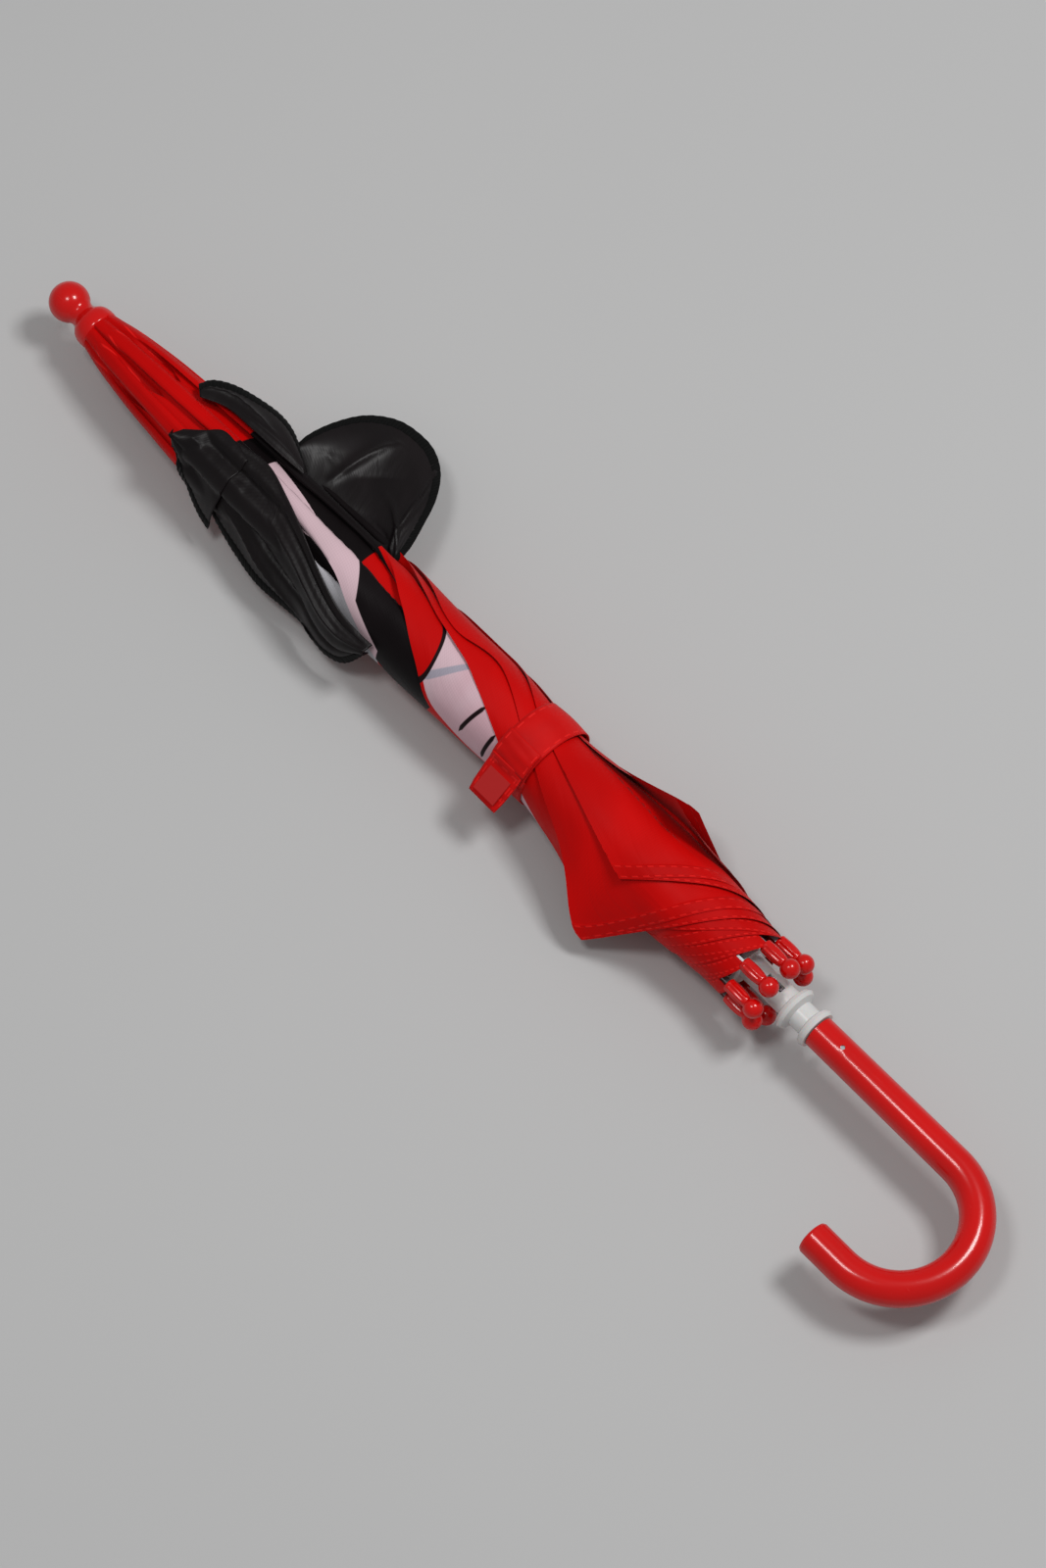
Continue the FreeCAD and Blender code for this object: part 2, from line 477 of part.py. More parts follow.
def make_runner():
    bore = "<shaft_diameter> / 2 + <sliding_gap>"
    barrel = "<barrel_diameter> / 2"
    crown = "<crown_diameter> / 2"
    flange = "<crown_back> + <barrel_length>"
    waist = flange + " + <flange_width>"
    rear = waist + " + <waist_length>"
    end = rear + " + <flange_width>"
    rim, rear_rim = "<flange_diameter> / 2", "<rear_flange_diameter> / 2"
    blank = revolved("runner_blank", [
        ("-<crown_front>", bore), ("-<crown_front>", crown), ("<crown_back>", crown),
        ("<crown_back>", barrel), (flange + " - 1.2", barrel), (flange, rim + " - 0.8"),
        (flange + " + <flange_width> / 2", rim), (waist, rim + " - 0.8"), (waist + " + 1.2", barrel),
        (rear + " - 1.2", barrel), (rear, rear_rim + " - 0.8"),
        (rear + " + <flange_width> / 2", rear_rim), (end, rear_rim + " - 0.8"), (end, bore)])
    slots = []
    eye_room = size("stretcher_eye_diameter") / 2 + size("slot_gap")
    floor = size("crown_pivot_radius") - eye_room
    half = size("stretcher_width") / 2 + size("slot_gap")
    length = size("crown_front") + BOOLEAN_MARGIN + eye_room
    for index in range(RIB_COUNT):
        turn = Placement(Vector(), Rotation(X_AXIS, FIRST_RIB + RIB_STEP * index))
        slots.append(block(f"crown_slot_{index + 1}", str(length), "<crown_diameter> / 2",
                           "<stretcher_width> + 2 * <slot_gap>",
                           turn * Placement(Vector(-size("crown_front") - BOOLEAN_MARGIN, floor,
                                                   STRETCHER_OFFSET - half), Rotation())))
    groove_width = "<wire_diameter> + 2 * <wire_gap>"
    groove_start = Placement(Vector(-size("wire_diameter") / 2 - size("wire_gap"), 0, 0), ALONG_SHAFT)
    groove = cut("crown_groove", rod("crown_groove_outside", "<crown_diameter>", groove_width, groove_start),
                 [rod("crown_groove_inside", "<crown_pivot_radius> - <wire_diameter> / 2 - <wire_gap>",
                      groove_width, groove_start)])
    window_start = LOWER_NOSE_END + size("nose_gap") - size("window_length") - CROWN
    window = block("catch_window", "<window_length>", "<crown_diameter> / 2", "<window_width>")
    radial = Placement(Vector(), Rotation(X_AXIS, SPRING_AZIMUTH))
    window.Placement = radial * Placement(Vector(window_start, 0, -size("window_width") / 2), Rotation())
    sub_part(cut("runner_cut", blank, slots + [groove, window]), "runner", on_shaft(CROWN))

    apothem = size("crown_pivot_radius")
    side = 2 * apothem * math.tan(math.radians(RIB_STEP / 2))
    links = []
    for index in range(RIB_COUNT):
        turn = Placement(Vector(), Rotation(X_AXIS, FIRST_RIB + RIB_STEP * index))
        start = turn * Placement(Vector(0, apothem, -side / 2), Rotation())
        links.append(rod(f"wire_side_{index + 1}", "<wire_diameter> / 2", str(side), start))
        links.append(primitive("Sphere", f"wire_corner_{index + 1}", start, Radius="<wire_diameter> / 2"))
    sub_part(fuse("runner_ring", links), "runner_wire", on_shaft(CROWN))


# ---- catch springs ----

def make_spring(node, nose_end, direction):
    """The steep face of the nose is at nose_end and faces direction along the shaft."""
    half = "<spring_thickness> / 2"
    tip = "<spring_arm> + <nose_length>"
    body = padded(node + "_leaf", [
        ("0", "-" + half), (tip, "-" + half), (tip, "<nose_height>"), (tip + " - 0.8", "<nose_height>"),
        ("<spring_arm>", half), ("0", half)], "<spring_width>")
    reach = size("spring_arm") + size("nose_length")
    radial = Placement(Vector(), Rotation(X_AXIS, SPRING_AZIMUTH))
    heading = Rotation() if direction > 0 else Rotation(Y_AXIS, 180)
    root = Placement(Vector(nose_end - direction * reach, size("spring_axis_radius"), 0), heading)
    sub_part(body, node, LYING * radial * root)


# ---- handle ----

def make_handle():
    grip = cone("grip", "<handle_diameter> / 2", "<hook_tube_diameter> / 2", "<grip_length>",
                on_shaft(HANDLE_START, turn=ALONG_SHAFT))
    hook = primitive("Torus", "hook", on_shaft(HOOK_CENTRE, -size("hook_radius")),
                     Radius1="<hook_radius>", Radius2="<hook_tube_diameter> / 2")
    hook.Angle3 = 180
    hook.Placement = on_shaft(HOOK_CENTRE, -size("hook_radius"), 0, Rotation(Z_AXIS, -90))
    tail_start = HOOK_CENTRE - size("hook_tail_length")
    tail = rod("tail", "<hook_tube_diameter> / 2", "<hook_tail_length>",
               on_shaft(tail_start, -2 * size("hook_radius"), 0, ALONG_SHAFT))
    bore = rod("grip_bore", "<shaft_diameter> / 2 + <seat_gap>", "<shaft_insertion> + 1.5",
               on_shaft(HANDLE_START - BOOLEAN_MARGIN, turn=ALONG_SHAFT))
    pin_place = on_shaft(HANDLE_START + size("pin_from_start"), 0, -size("handle_diameter"))
    pin_hole = rod("grip_pin_hole", "<pin_diameter> / 2 + <seat_gap>", "<handle_diameter> * 2", pin_place)
    socket = rod("end_socket", "<end_cap_stem_diameter> / 2 + <seat_gap>", "<end_cap_stem_length> + 0.5",
                 on_shaft(tail_start, -2 * size("hook_radius"), 0, ALONG_SHAFT))
    handle = cut("handle_cut", fuse("handle_solid", [grip, hook, tail]), [bore, pin_hole, socket])
    sub_part(handle, "handle_crook")

    pin_length = size("handle_diameter") - 1.0
    pin = rod("cross_pin", "<pin_diameter> / 2", str(pin_length),
              on_shaft(HANDLE_START + size("pin_from_start"), 0, -pin_length / 2))
    sub_part(pin, "handle_pin")

    edge, stem = "<hook_tube_diameter> / 2", "<end_cap_stem_diameter> / 2"
    end_cap = revolved("end_plug", [
        ("-<end_cap_length>", "0"), ("-<end_cap_length>", edge + " - 1.6"),
        ("-<end_cap_length> + 0.5", edge + " - 0.5"), ("-<end_cap_length> + 1.6", edge), ("0", edge),
        ("0", stem), ("<end_cap_stem_length>", stem), ("<end_cap_stem_length>", "0")])
    sub_part(end_cap, "handle_end_cap", on_shaft(tail_start, -2 * size("hook_radius")))


# ---- canopy, strap and flaps: the soft parts as plain closed solids ----

GORE_SKIRTS = ["<skirt_radius_top>", "<skirt_radius_top>", "<skirt_radius_top>", "<skirt_radius_hook_side>",
               "<skirt_radius_low>", "<lay_height>", "<skirt_radius_low>", "<skirt_radius_far_side>"]


def make_gore(number, skirt):
    """The furled cloth between two ribs: one eighth of the bundle's outer shell."""
    tips = TIPS - NOTCH_PIVOT
    rim = PATCH_START - NOTCH_PIVOT
    outside = [
        (f"{rim} + <canopy_start_gap>", "<canopy_neck_radius>"),
        ("<shoulder_distance>", "<shoulder_radius>"),
        ("<body_distance>", "<body_radius>"),
        (f"{tips} - <strap_from_tips> - <strap_width>", "<body_radius>"),
        (f"{tips} - <strap_from_tips>", "<strap_radius>"),
        (f"{tips} - <flare_from_tips>", "<flare_radius>"),
        (f"{tips} - <skirt_from_tips>", skirt),
        (f"{tips} - <skirt_end_from_tips>", "<skirt_end_radius>"),
        (f"{tips} - <hem_from_tips>", "<hem_radius>")]
    inside = [(along, f"{radius} - <canopy_thickness>") for along, radius in reversed(outside)]
    body = revolved(f"gore_shell_{number}", outside + inside, angle_formula="<gore_angle>")
    turn = Rotation(X_AXIS, FIRST_RIB + RIB_STEP * (number - 0.5))
    sub_part(body, f"canopy_gore_{number}", on_shaft(NOTCH_PIVOT, turn=turn))


def make_strap():
    inner = "<strap_radius> + <strap_gap> + (<body_radius> - <strap_radius>) / 2"
    middle = TIPS - size("strap_from_tips")
    band = revolved("strap_band", [
        ("-<strap_width> / 2", inner), ("-<strap_width> / 2", inner + " + <strap_thickness>"),
        ("<strap_width> / 2", inner + " + <strap_thickness>"), ("<strap_width> / 2", inner)])
    sub_part(band, "closure_strap", on_shaft(middle))

    radius = value_of(inner) + size("strap_thickness") + size("pad_thickness") + size("strap_gap")
    azimuth = math.radians(size("tab_azimuth"))
    root = (radius * math.cos(azimuth), radius * math.sin(azimuth))
    droop = Rotation(X_AXIS, 180 + size("tab_droop"))
    place = on_shaft(middle - size("strap_width") / 2, root[0], root[1], droop)
    tab = block("tab_leaf", "<strap_width>", "<tab_length>", "<strap_thickness>",
                place * Placement(Vector(0, 0, -size("strap_thickness")), Rotation()))
    sub_part(tab, "strap_tab")
    pad_place = place * Placement(Vector((size("strap_width") - size("pad_size")) / 2,
                                         size("tab_length") - size("pad_size") - 1, 0), Rotation())
    sub_part(block("pad_leaf", "<pad_size>", "<pad_size>", "<pad_thickness>", pad_place), "strap_fastener")


def bundle_room(name):
    """The space of the furled bundle, which the flaps stay clear of."""
    return rod(name, "<body_radius> + <flap_clearance>", str(TOTAL_LENGTH), on_shaft(turn=ALONG_SHAFT))


def make_flaps():
    thickness = size("ear_thickness")

    tilt = math.radians(size("ear_tilt"))
    radius = size("ear_diameter") / 2
    side = size("ear_reach") - radius * math.cos(tilt) - thickness / 2 * math.sin(tilt)
    up = -size("lay_height") + radius * math.sin(tilt) + thickness / 2 * math.cos(tilt)
    slope = Rotation(X_AXIS, -size("ear_tilt"))
    disc = rod("ear_disc", "<ear_diameter> / 2", "<ear_thickness>",
               on_shaft(NOTCH_PIVOT + size("ear_distance"), side, up, slope)
               * Placement(Vector(0, 0, -thickness / 2), Rotation()))
    sub_part(cut("ear_cut", disc, [bundle_room("ear_room")]), "ear_flap_round")

    foot = math.radians(size("fold_tilt"))
    slope = Rotation(X_AXIS, 180 + size("fold_tilt"))
    up = -size("lay_height") + size("fold_width") * math.sin(foot) + thickness * math.cos(foot)
    side = -size("fold_reach") + size("fold_width") * math.cos(foot)
    fold = block("fold_leaf", "<fold_length>", "<fold_width>", "<ear_thickness>",
                 on_shaft(NOTCH_PIVOT + size("fold_distance"), side, up, slope))
    sub_part(cut("fold_cut", fold, [bundle_room("fold_room")]), "ear_flap_folded")


make_shaft()
make_finial()
make_notch()
make_runner()
make_spring("lower_catch", LOWER_NOSE_END, 1)
make_spring("upper_catch", UPPER_NOSE_END, -1)
make_handle()
for arm in range(1, RIB_COUNT + 1):
    make_rib(arm, FIRST_RIB + RIB_STEP * (arm - 1))
    make_stretcher(arm, FIRST_RIB + RIB_STEP * (arm - 1))
for panel, skirt_size in enumerate(GORE_SKIRTS, start=1):
    make_gore(panel, skirt_size)
make_strap()
make_flaps()
doc.recompute()

for item in doc.Objects:
    if "Invalid" in item.State or "Error" in item.State:
        raise RuntimeError(f"{item.Name} failed: {item.State}")
for piece in sub_parts:
    if piece.Shape.isNull() or not piece.Shape.isValid():
        raise RuntimeError(f"{piece.Label} has no valid shape")

os.makedirs("parts", exist_ok=True)
for piece in sub_parts:
    piece.Shape.exportStep(f"parts/{piece.Label}.step")

print(f"nodes {len(sub_parts)}, length {TOTAL_LENGTH:.2f}, shaft y {SHAFT_Y:.2f}, travel {RUNNER_TRAVEL:.3f}")
print(f"rib swing {math.degrees(OPEN_ANGLE - RIB_TILT):.3f},"
      f" stretcher swing {math.degrees(OPEN_STRETCHER_TILT - STRETCHER_TILT):.3f}")
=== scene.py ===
import bpy, math
import numpy as np
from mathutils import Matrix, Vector


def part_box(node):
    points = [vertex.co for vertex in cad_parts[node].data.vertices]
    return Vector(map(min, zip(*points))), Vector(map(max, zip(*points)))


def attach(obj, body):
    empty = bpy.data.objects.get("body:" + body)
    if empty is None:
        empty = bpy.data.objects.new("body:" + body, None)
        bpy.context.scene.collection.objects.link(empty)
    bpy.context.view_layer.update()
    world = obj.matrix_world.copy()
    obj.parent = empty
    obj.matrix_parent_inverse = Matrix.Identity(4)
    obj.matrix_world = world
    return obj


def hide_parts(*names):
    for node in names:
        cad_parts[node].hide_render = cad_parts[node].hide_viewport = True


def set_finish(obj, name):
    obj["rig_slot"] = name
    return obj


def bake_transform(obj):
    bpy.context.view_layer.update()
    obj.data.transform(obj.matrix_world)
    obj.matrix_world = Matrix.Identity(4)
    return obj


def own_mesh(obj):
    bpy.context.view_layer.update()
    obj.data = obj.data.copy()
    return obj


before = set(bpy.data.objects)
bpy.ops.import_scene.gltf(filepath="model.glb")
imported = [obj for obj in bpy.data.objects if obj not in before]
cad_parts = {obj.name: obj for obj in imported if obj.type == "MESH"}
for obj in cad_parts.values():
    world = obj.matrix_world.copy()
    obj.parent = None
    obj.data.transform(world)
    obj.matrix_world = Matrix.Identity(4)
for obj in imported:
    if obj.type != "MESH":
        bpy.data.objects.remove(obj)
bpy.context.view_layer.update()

MM = 0.001
DEG = math.pi / 180.0

# ---------------------------------------------------------------- places, all from the frame
ball_low, ball_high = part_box("finial_ball")
FRONT = ball_low.x / MM
AXIS_Y = (ball_low.y + ball_high.y) / 2 / MM
AXIS_Z = (ball_low.z + ball_high.z) / 2 / MM
NOTCH = 34.2            # rib pivots, from the front of the ball
PIVOT_RADIUS = 6.2      # rib pivots, from the shaft's axis
RIB_TILT = 1.30         # a folded rib against the shaft, degrees
RIB_SLOPE = math.tan(RIB_TILT * DEG)
GORES = 8
STEP = 360.0 / GORES
FIRST_SEAM = 22.5       # degrees round the shaft
APEX = 43.4             # flat apex angle of one gore, degrees
SIDE, MIDDLE = 409.0, 346.0   # cloth from crown to hem, at the seams and at the fold
CROWN_LEAD = 5.0        # the cloth starts this far ahead of the pivots


def spot(x, y, z):
    """Metres in the frame, from millimetres along, across and above the shaft axis."""
    x, y, z = np.broadcast_arrays(x, y, z)
    return np.stack([(FRONT + x) * MM, (AXIS_Y + y) * MM, (AXIS_Z + z) * MM], -1)


def ease(t):
    t = np.clip(t, 0.0, 1.0)
    return t * t * (3 - 2 * t)


def curve(x, stations, soft=5.0):
    """A smooth value along the shaft, through stations of (x, value)."""
    xs, ys = zip(*stations)
    total = 0.0
    for k in range(-3, 4):
        total = total + np.interp(x + k * soft / 3, xs, ys)
    return total / 7


def ripple(x, y, seed=0):
    """Smooth repeatable unevenness between about -1 and 1."""
    rng = np.random.default_rng(100 + seed)
    total = 0.0
    for _ in range(7):
        fx, fy = rng.uniform(0.4, 1.7, 2)
        px, py = rng.uniform(0, 6.28, 2)
        total = total + np.sin(fx * x + px + 0.8 * np.sin(fy * y + py)) * np.cos(fy * y + py)
    return total / 3.2


# ---------------------------------------------------------------- mesh helpers
def mesh_object(name, points, faces, material, smooth=True):
    mesh = bpy.data.meshes.new(name)
    mesh.from_pydata([tuple(p) for p in points], [], [tuple(int(i) for i in f) for f in faces])
    mesh.update()
    if smooth:
        mesh.polygons.foreach_set("use_smooth", [True] * len(mesh.polygons))
    made = bpy.data.objects.new(name, mesh)
    bpy.context.collection.objects.link(made)
    mesh.materials.append(material)
    return made


def grid_faces(rows, columns, wrap=False):
    faces = []
    last = columns if wrap else columns - 1
    for i in range(rows - 1):
        for j in range(last):
            k = (j + 1) % columns
            faces.append((i * columns + j, i * columns + k, (i + 1) * columns + k, (i + 1) * columns + j))
    return faces


def grid_object(name, points, material, flat=None, wrap=False, extra=None):
    rows, columns = points.shape[:2]
    made = mesh_object(name, points.reshape(-1, 3), grid_faces(rows, columns, wrap), material)
    if flat is not None:
        attribute = made.data.attributes.new("flat", "FLOAT_VECTOR", "POINT")
        attribute.data.foreach_set("vector", np.asarray(flat, np.float32).reshape(-1))
    for key, value in (extra or {}).items():
        attribute = made.data.attributes.new(key, "FLOAT", "POINT")
        attribute.data.foreach_set("value", np.asarray(value, np.float32).reshape(-1))
    return made


# ---------------------------------------------------------------- materials
class Nodes:
    """A short way to write a material's nodes."""

    def __init__(self, name):
        self.material = bpy.data.materials.new(name)
        self.material.use_nodes = True
        self.tree = self.material.node_tree
        self.shader = self.tree.nodes["Principled BSDF"]

    def link(self, value, socket):
        if isinstance(value, bpy.types.NodeSocket):
            self.tree.links.new(value, socket)
        else:
            socket.default_value = value

    def add(self, kind, inputs=None, out=0, **settings):
        node = self.tree.nodes.new(kind)
        for key, value in settings.items():
            setattr(node, key, value)
        for key, value in (inputs or {}).items():
            self.link(value, node.inputs[key])
        return node.outputs[out]

    def math(self, operation, a, b=0.0):
        return self.add("ShaderNodeMath", {0: a, 1: b}, operation=operation)

    def product(self, a, b):
        return self.math("MULTIPLY", a, b)

    def invert(self, value):
        return self.math("SUBTRACT", 1.0, value)

    def mix(self, factor, a, b):
        node = self.tree.nodes.new("ShaderNodeMix")
        node.data_type = "RGBA"
        for value, socket in ((factor, node.inputs[0]), (a, node.inputs[6]), (b, node.inputs[7])):
            self.link(value, socket)
        return node.outputs[2]

    def step(self, value, low, high):
        """0 below low and 1 above high, smooth between."""
        return self.add("ShaderNodeMapRange", {"Value": value, "From Min": low, "From Max": high},
                        interpolation_type="SMOOTHSTEP")

    def near(self, value, where, inner, outer):
        """1 within inner of where and 0 beyond outer, smooth between."""
        gap = self.math("ABSOLUTE", self.math("SUBTRACT", value, where))
        return self.invert(self.step(gap, inner, outer))

    def noise(self, vector, scale, detail=3.0):
        return self.add("ShaderNodeTexNoise", {"Vector": vector, "Scale": scale, "Detail": detail})

    def dashes(self, run, low, high):
        """Stitches along a row, from the distance along it."""
        where = self.add("ShaderNodeCombineXYZ", {"X": run})
        wave = self.add("ShaderNodeTexWave", {"Vector": where, "Scale": STITCHES}, out=1)
        return self.step(wave, low, high)

    def ramp(self, value, low, high):
        return self.add("ShaderNodeMapRange", {"Value": value, "To Min": low, "To Max": high})

    def bump(self, height, strength, distance, normal=None):
        inputs = {"Height": height, "Strength": strength, "Distance": distance}
        if normal is not None:
            inputs["Normal"] = normal
        return self.add("ShaderNodeBump", inputs)

    def set(self, **values):
        for key, value in values.items():
            self.link(value, self.shader.inputs[key.replace("_", " ")])
        return self.material


def attribute(n, name, kind="Vector"):
    node = n.tree.nodes.new("ShaderNodeAttribute")
    node.attribute_name = name
    return node.outputs[kind]


def flat_axes(n):
    """The flat cut's own coordinates in metres, then its two directions apart."""
    flat = attribute(n, "flat")
    split = n.tree.nodes.new("ShaderNodeSeparateXYZ")
    n.tree.links.new(flat, split.inputs[0])
    return flat, split.outputs[0], split.outputs[1]


def mottled(n, scale, low, high, a, b):
    """Two tones in soft patches."""
    return n.mix(n.step(n.noise(attribute(n, "flat"), scale), low, high), a, b)


RED = (0.62, 0.0014, 0.0010, 1)
DEEP_RED = (0.50, 0.0010, 0.0008, 1)
THREAD = (0.80, 0.012, 0.010, 1)
BLACK = (0.0042, 0.0026, 0.0030, 1)
BROWN = (0.011, 0.004, 0.005, 1)
PALE = (0.66, 0.47, 0.52, 1)
PALE_GREY = (0.50, 0.49, 0.52, 1)
SHADE = (0.0, 0.0, 0.0, 1)

STITCHES = 52.0                             # wave scale of every stitched row
HEM_ROWS, SEAM_ROW = (0.0011, 0.0062), 0.0024   # stitched rows, in metres back from the hem and the seam
ROW_INNER, ROW_OUTER = 0.00025, 0.00055     # half width of a stitched row, solid and faded out


def cloth_material(name, pattern=None, roughness=0.48):
    """Woven polyester. Its weave, stitches and print lie in the flat cut's own coordinates, in metres."""
    n = Nodes(name)
    flat, across, along = flat_axes(n)
    patches = n.noise(flat, 14.0, 4.0)
    fine = n.noise(flat, 420.0, 2.0)
    colour = n.mix(n.step(patches, 0.34, 0.70), DEEP_RED, RED)
    if pattern:
        colour = pattern(n, across, along, colour)
    warp = n.add("ShaderNodeTexWave", {"Vector": flat, "Scale": 330.0, "Distortion": 0.6, "Detail": 1.0},
                 out=1, bands_direction="X")
    weft = n.add("ShaderNodeTexWave", {"Vector": flat, "Scale": 290.0, "Distortion": 0.6, "Detail": 1.0},
                 out=1, bands_direction="Y")
    weave = n.product(n.math("ADD", warp, weft), 0.5)
    colour = n.mix(n.product(weave, 0.10), colour, SHADE)
    height = n.math("ADD", n.product(weave, 0.35), n.product(fine, 0.65))
    normal = n.bump(height, 0.22, 0.0002)
    long_folds = n.add("ShaderNodeMapping", {"Vector": flat, "Scale": (90.0, 14.0, 1.0)})
    creases = n.add("ShaderNodeTexNoise", {"Vector": long_folds, "Scale": 1.0, "Detail": 3.0,
                                           "Roughness": 0.55, "Distortion": 0.6})
    normal = n.bump(creases, 0.30, 0.0012, normal)
    edge = attribute(n, "edge", "Fac")
    rows = n.near(attribute(n, "seam", "Fac"), SEAM_ROW, ROW_INNER, ROW_OUTER)
    for where in HEM_ROWS:
        rows = n.math("MAXIMUM", rows, n.near(edge, where, ROW_INNER, ROW_OUTER))
    stitches = n.product(rows, n.dashes(attribute(n, "run", "Fac"), 0.25, 0.6))
    colour = n.mix(n.product(stitches, 0.75), colour, THREAD)
    fold = n.invert(n.step(edge, 0.0066, 0.0074))
    height = n.math("ADD", n.product(stitches, 0.9), n.math("SUBTRACT", fold, n.product(rows, 0.30)))
    normal = n.bump(height, 0.55, 0.0004, normal)
    colour = n.mix(n.product(fold, 0.07), colour, SHADE)
    rough = n.ramp(n.noise(flat, 60.0), roughness - 0.06, roughness + 0.10)
    return n.set(Base_Color=colour, Roughness=rough, Normal=normal, Sheen_Weight=0.03, Sheen_Roughness=0.45,
                 Specular_IOR_Level=0.07)


# the print: metres along each gore from the crown, and across it from the fold
PRINT_SOFT = 0.0004                         # how soft an edge of the print is
BLACK_FROM, BLACK_TO = 0.088, 0.165
PALE_FROM, PALE_TO = 0.104, 0.1975
FIELD_FROM, FIELD_TO = 0.2035, 0.301
DISC_ACROSS, DISC_ALONG, DISC_RADIUS = -0.0046, 0.2104, 0.012


def circle_distance(n, across, along, x, y):
    dx = n.math("SUBTRACT", across, x)
    dy = n.math("SUBTRACT", along, y)
    return n.math("SQRT", n.math("ADD", n.product(dx, dx), n.product(dy, dy)))


def dash(n, across, along, x, y, angle, length, width):
    """A tapered stroke centred at x, y."""
    c, s = math.cos(angle * DEG), math.sin(angle * DEG)
    dx = n.math("SUBTRACT", across, x)
    dy = n.math("SUBTRACT", along, y)
    u = n.math("ADD", n.product(dx, c), n.product(dy, s))
    w = n.math("ABSOLUTE", n.math("SUBTRACT", n.product(dy, c), n.product(dx, s)))
    room = n.invert(n.math("ABSOLUTE", n.math("DIVIDE", u, length / 2)))
    half = n.product(n.math("MINIMUM", n.product(room, 3.0), 1.0), width / 2)
    return n.step(n.math("SUBTRACT", half, w), -0.0002, 0.0003)


def past(n, value, edge, soft=PRINT_SOFT):
    """1 where value is beyond an edge."""
    return n.step(value, edge, edge + soft)


def between(n, value, low, high, soft=PRINT_SOFT):
    """1 where value is between low and high."""
    return n.product(past(n, value, low, soft), n.invert(past(n, value, high, soft)))


def black_tone(n):
    return mottled(n, 20.0, 0.35, 0.7, BLACK, (0.0075, 0.0050, 0.0058, 1))


def red_and_pale(n, across, along, colour):
    """Black, then red, then a pale field with a round dark edge, a grey band and three strokes."""
    behind_fold = n.product(past(n, across, 0.0016), between(n, along, BLACK_FROM, 0.215))
    black = n.math("MAXIMUM", between(n, along, BLACK_FROM, BLACK_TO), behind_fold)
    colour = n.mix(black, colour, black_tone(n))
    far_side = n.product(past(n, across, 0.0166), between(n, along, PALE_FROM, PALE_TO))
    colour = n.mix(far_side, colour, PALE_GREY)
    field = n.product(between(n, along, FIELD_FROM, FIELD_TO), n.invert(past(n, across, -0.0024)))
    distance = circle_distance(n, across, along, DISC_ACROSS, DISC_ALONG)
    outside = n.step(distance, DISC_RADIUS - 0.0002, DISC_RADIUS + 0.0002)
    pale = mottled(n, 26.0, 0.35, 0.65, PALE, (0.60, 0.38, 0.43, 1))
    band_print = dash(n, across, along, -0.0185, 0.2300, 153, 0.044, 0.0024)
    pale = n.mix(n.product(band_print, 0.8), pale, (0.30, 0.31, 0.38, 1))
    for x, y, angle, length in ((-0.0150, 0.2493, 168, 0.019), (-0.0130, 0.2614, 175, 0.017),
                                (-0.0130, 0.2738, 178, 0.014)):
        pale = n.mix(dash(n, across, along, x, y, angle, length, 0.0019), pale, BROWN)
    colour = n.mix(n.product(field, outside), colour, pale)
    rim = n.near(distance, DISC_RADIUS - 0.0001, 0.0008, 0.0012)
    return n.mix(n.product(rim, between(n, along, FIELD_FROM, 0.2300)), colour, BROWN)


def black_and_red(n, across, along, colour):
    """Black down to a slanting edge, with a pale leaf shape beside the fold; red below it."""
    bottom = n.invert(n.step(n.math("ADD", along, n.product(across, 0.35)), 0.2255, 0.2260))
    black = n.product(n.step(along, BLACK_FROM, BLACK_FROM + 0.001), bottom)
    colour = n.mix(black, colour, black_tone(n))
    wide = n.math("DIVIDE", across, 0.0135)
    long = n.math("DIVIDE", n.math("SUBTRACT", along, 0.1425), 0.0370)
    leaf = n.invert(n.step(n.math("ADD", n.product(wide, wide), n.product(long, long)), 0.98, 1.02))
    tail = n.product(between(n, along, 0.150, PALE_TO), past(n, across, -0.0046))
    tone = mottled(n, 26.0, 0.35, 0.65, PALE, (0.62, 0.45, 0.49, 1))
    behind_fold = n.product(past(n, across, 0.0002), between(n, along, PALE_FROM, PALE_TO))
    pale = n.math("MAXIMUM", n.math("MAXIMUM", leaf, tail), behind_fold)
    return n.mix(pale, colour, tone)


def pale_and_seam(n, across, along, colour):
    """The pale grey gore beside the folded flap, with one seam down it."""
    field = between(n, along, 0.097, PALE_TO)
    line = n.near(across, -0.0009, 0.0002, 0.0006)
    tone = n.mix(n.product(line, 0.7), PALE_GREY, (0.20, 0.17, 0.20, 1))
    return n.mix(field, colour, tone)


def black_patch(n, across, along, colour):
    """The gore under the round flap, black beside it."""
    behind_fold = n.product(past(n, across, 0.0116), between(n, along, BLACK_FROM, 0.200))
    black = n.math("MAXIMUM", between(n, along, BLACK_FROM, BLACK_TO), behind_fold)
    return n.mix(black, colour, black_tone(n))


def satin(name):
    """Black lining satin with creases and a fine twill."""
    n = Nodes(name)
    flat = attribute(n, "flat")
    tone = mottled(n, 30.0, 0.35, 0.7, BLACK, (0.0070, 0.0045, 0.0052, 1))
    rays = n.add("ShaderNodeMapping", {"Vector": flat, "Scale": (60.0, 25.0, 1.0)})
    creases = n.add("ShaderNodeTexNoise", {"Vector": rays, "Scale": 1.0, "Detail": 3.0, "Distortion": 0.9})
    twill = n.add("ShaderNodeTexWave", {"Vector": flat, "Scale": 300.0}, out=1, bands_direction="DIAGONAL")
    normal = n.bump(twill, 0.12, 0.0001)
    normal = n.bump(creases, 0.45, 0.0014, normal)
    return n.set(Base_Color=tone, Roughness=n.ramp(n.noise(flat, 80.0), 0.33, 0.48), Normal=normal,
                 Sheen_Weight=0.04, Sheen_Roughness=0.35, Sheen_Tint=(0.62, 0.52, 0.60, 1),
                 Specular_IOR_Level=0.20)


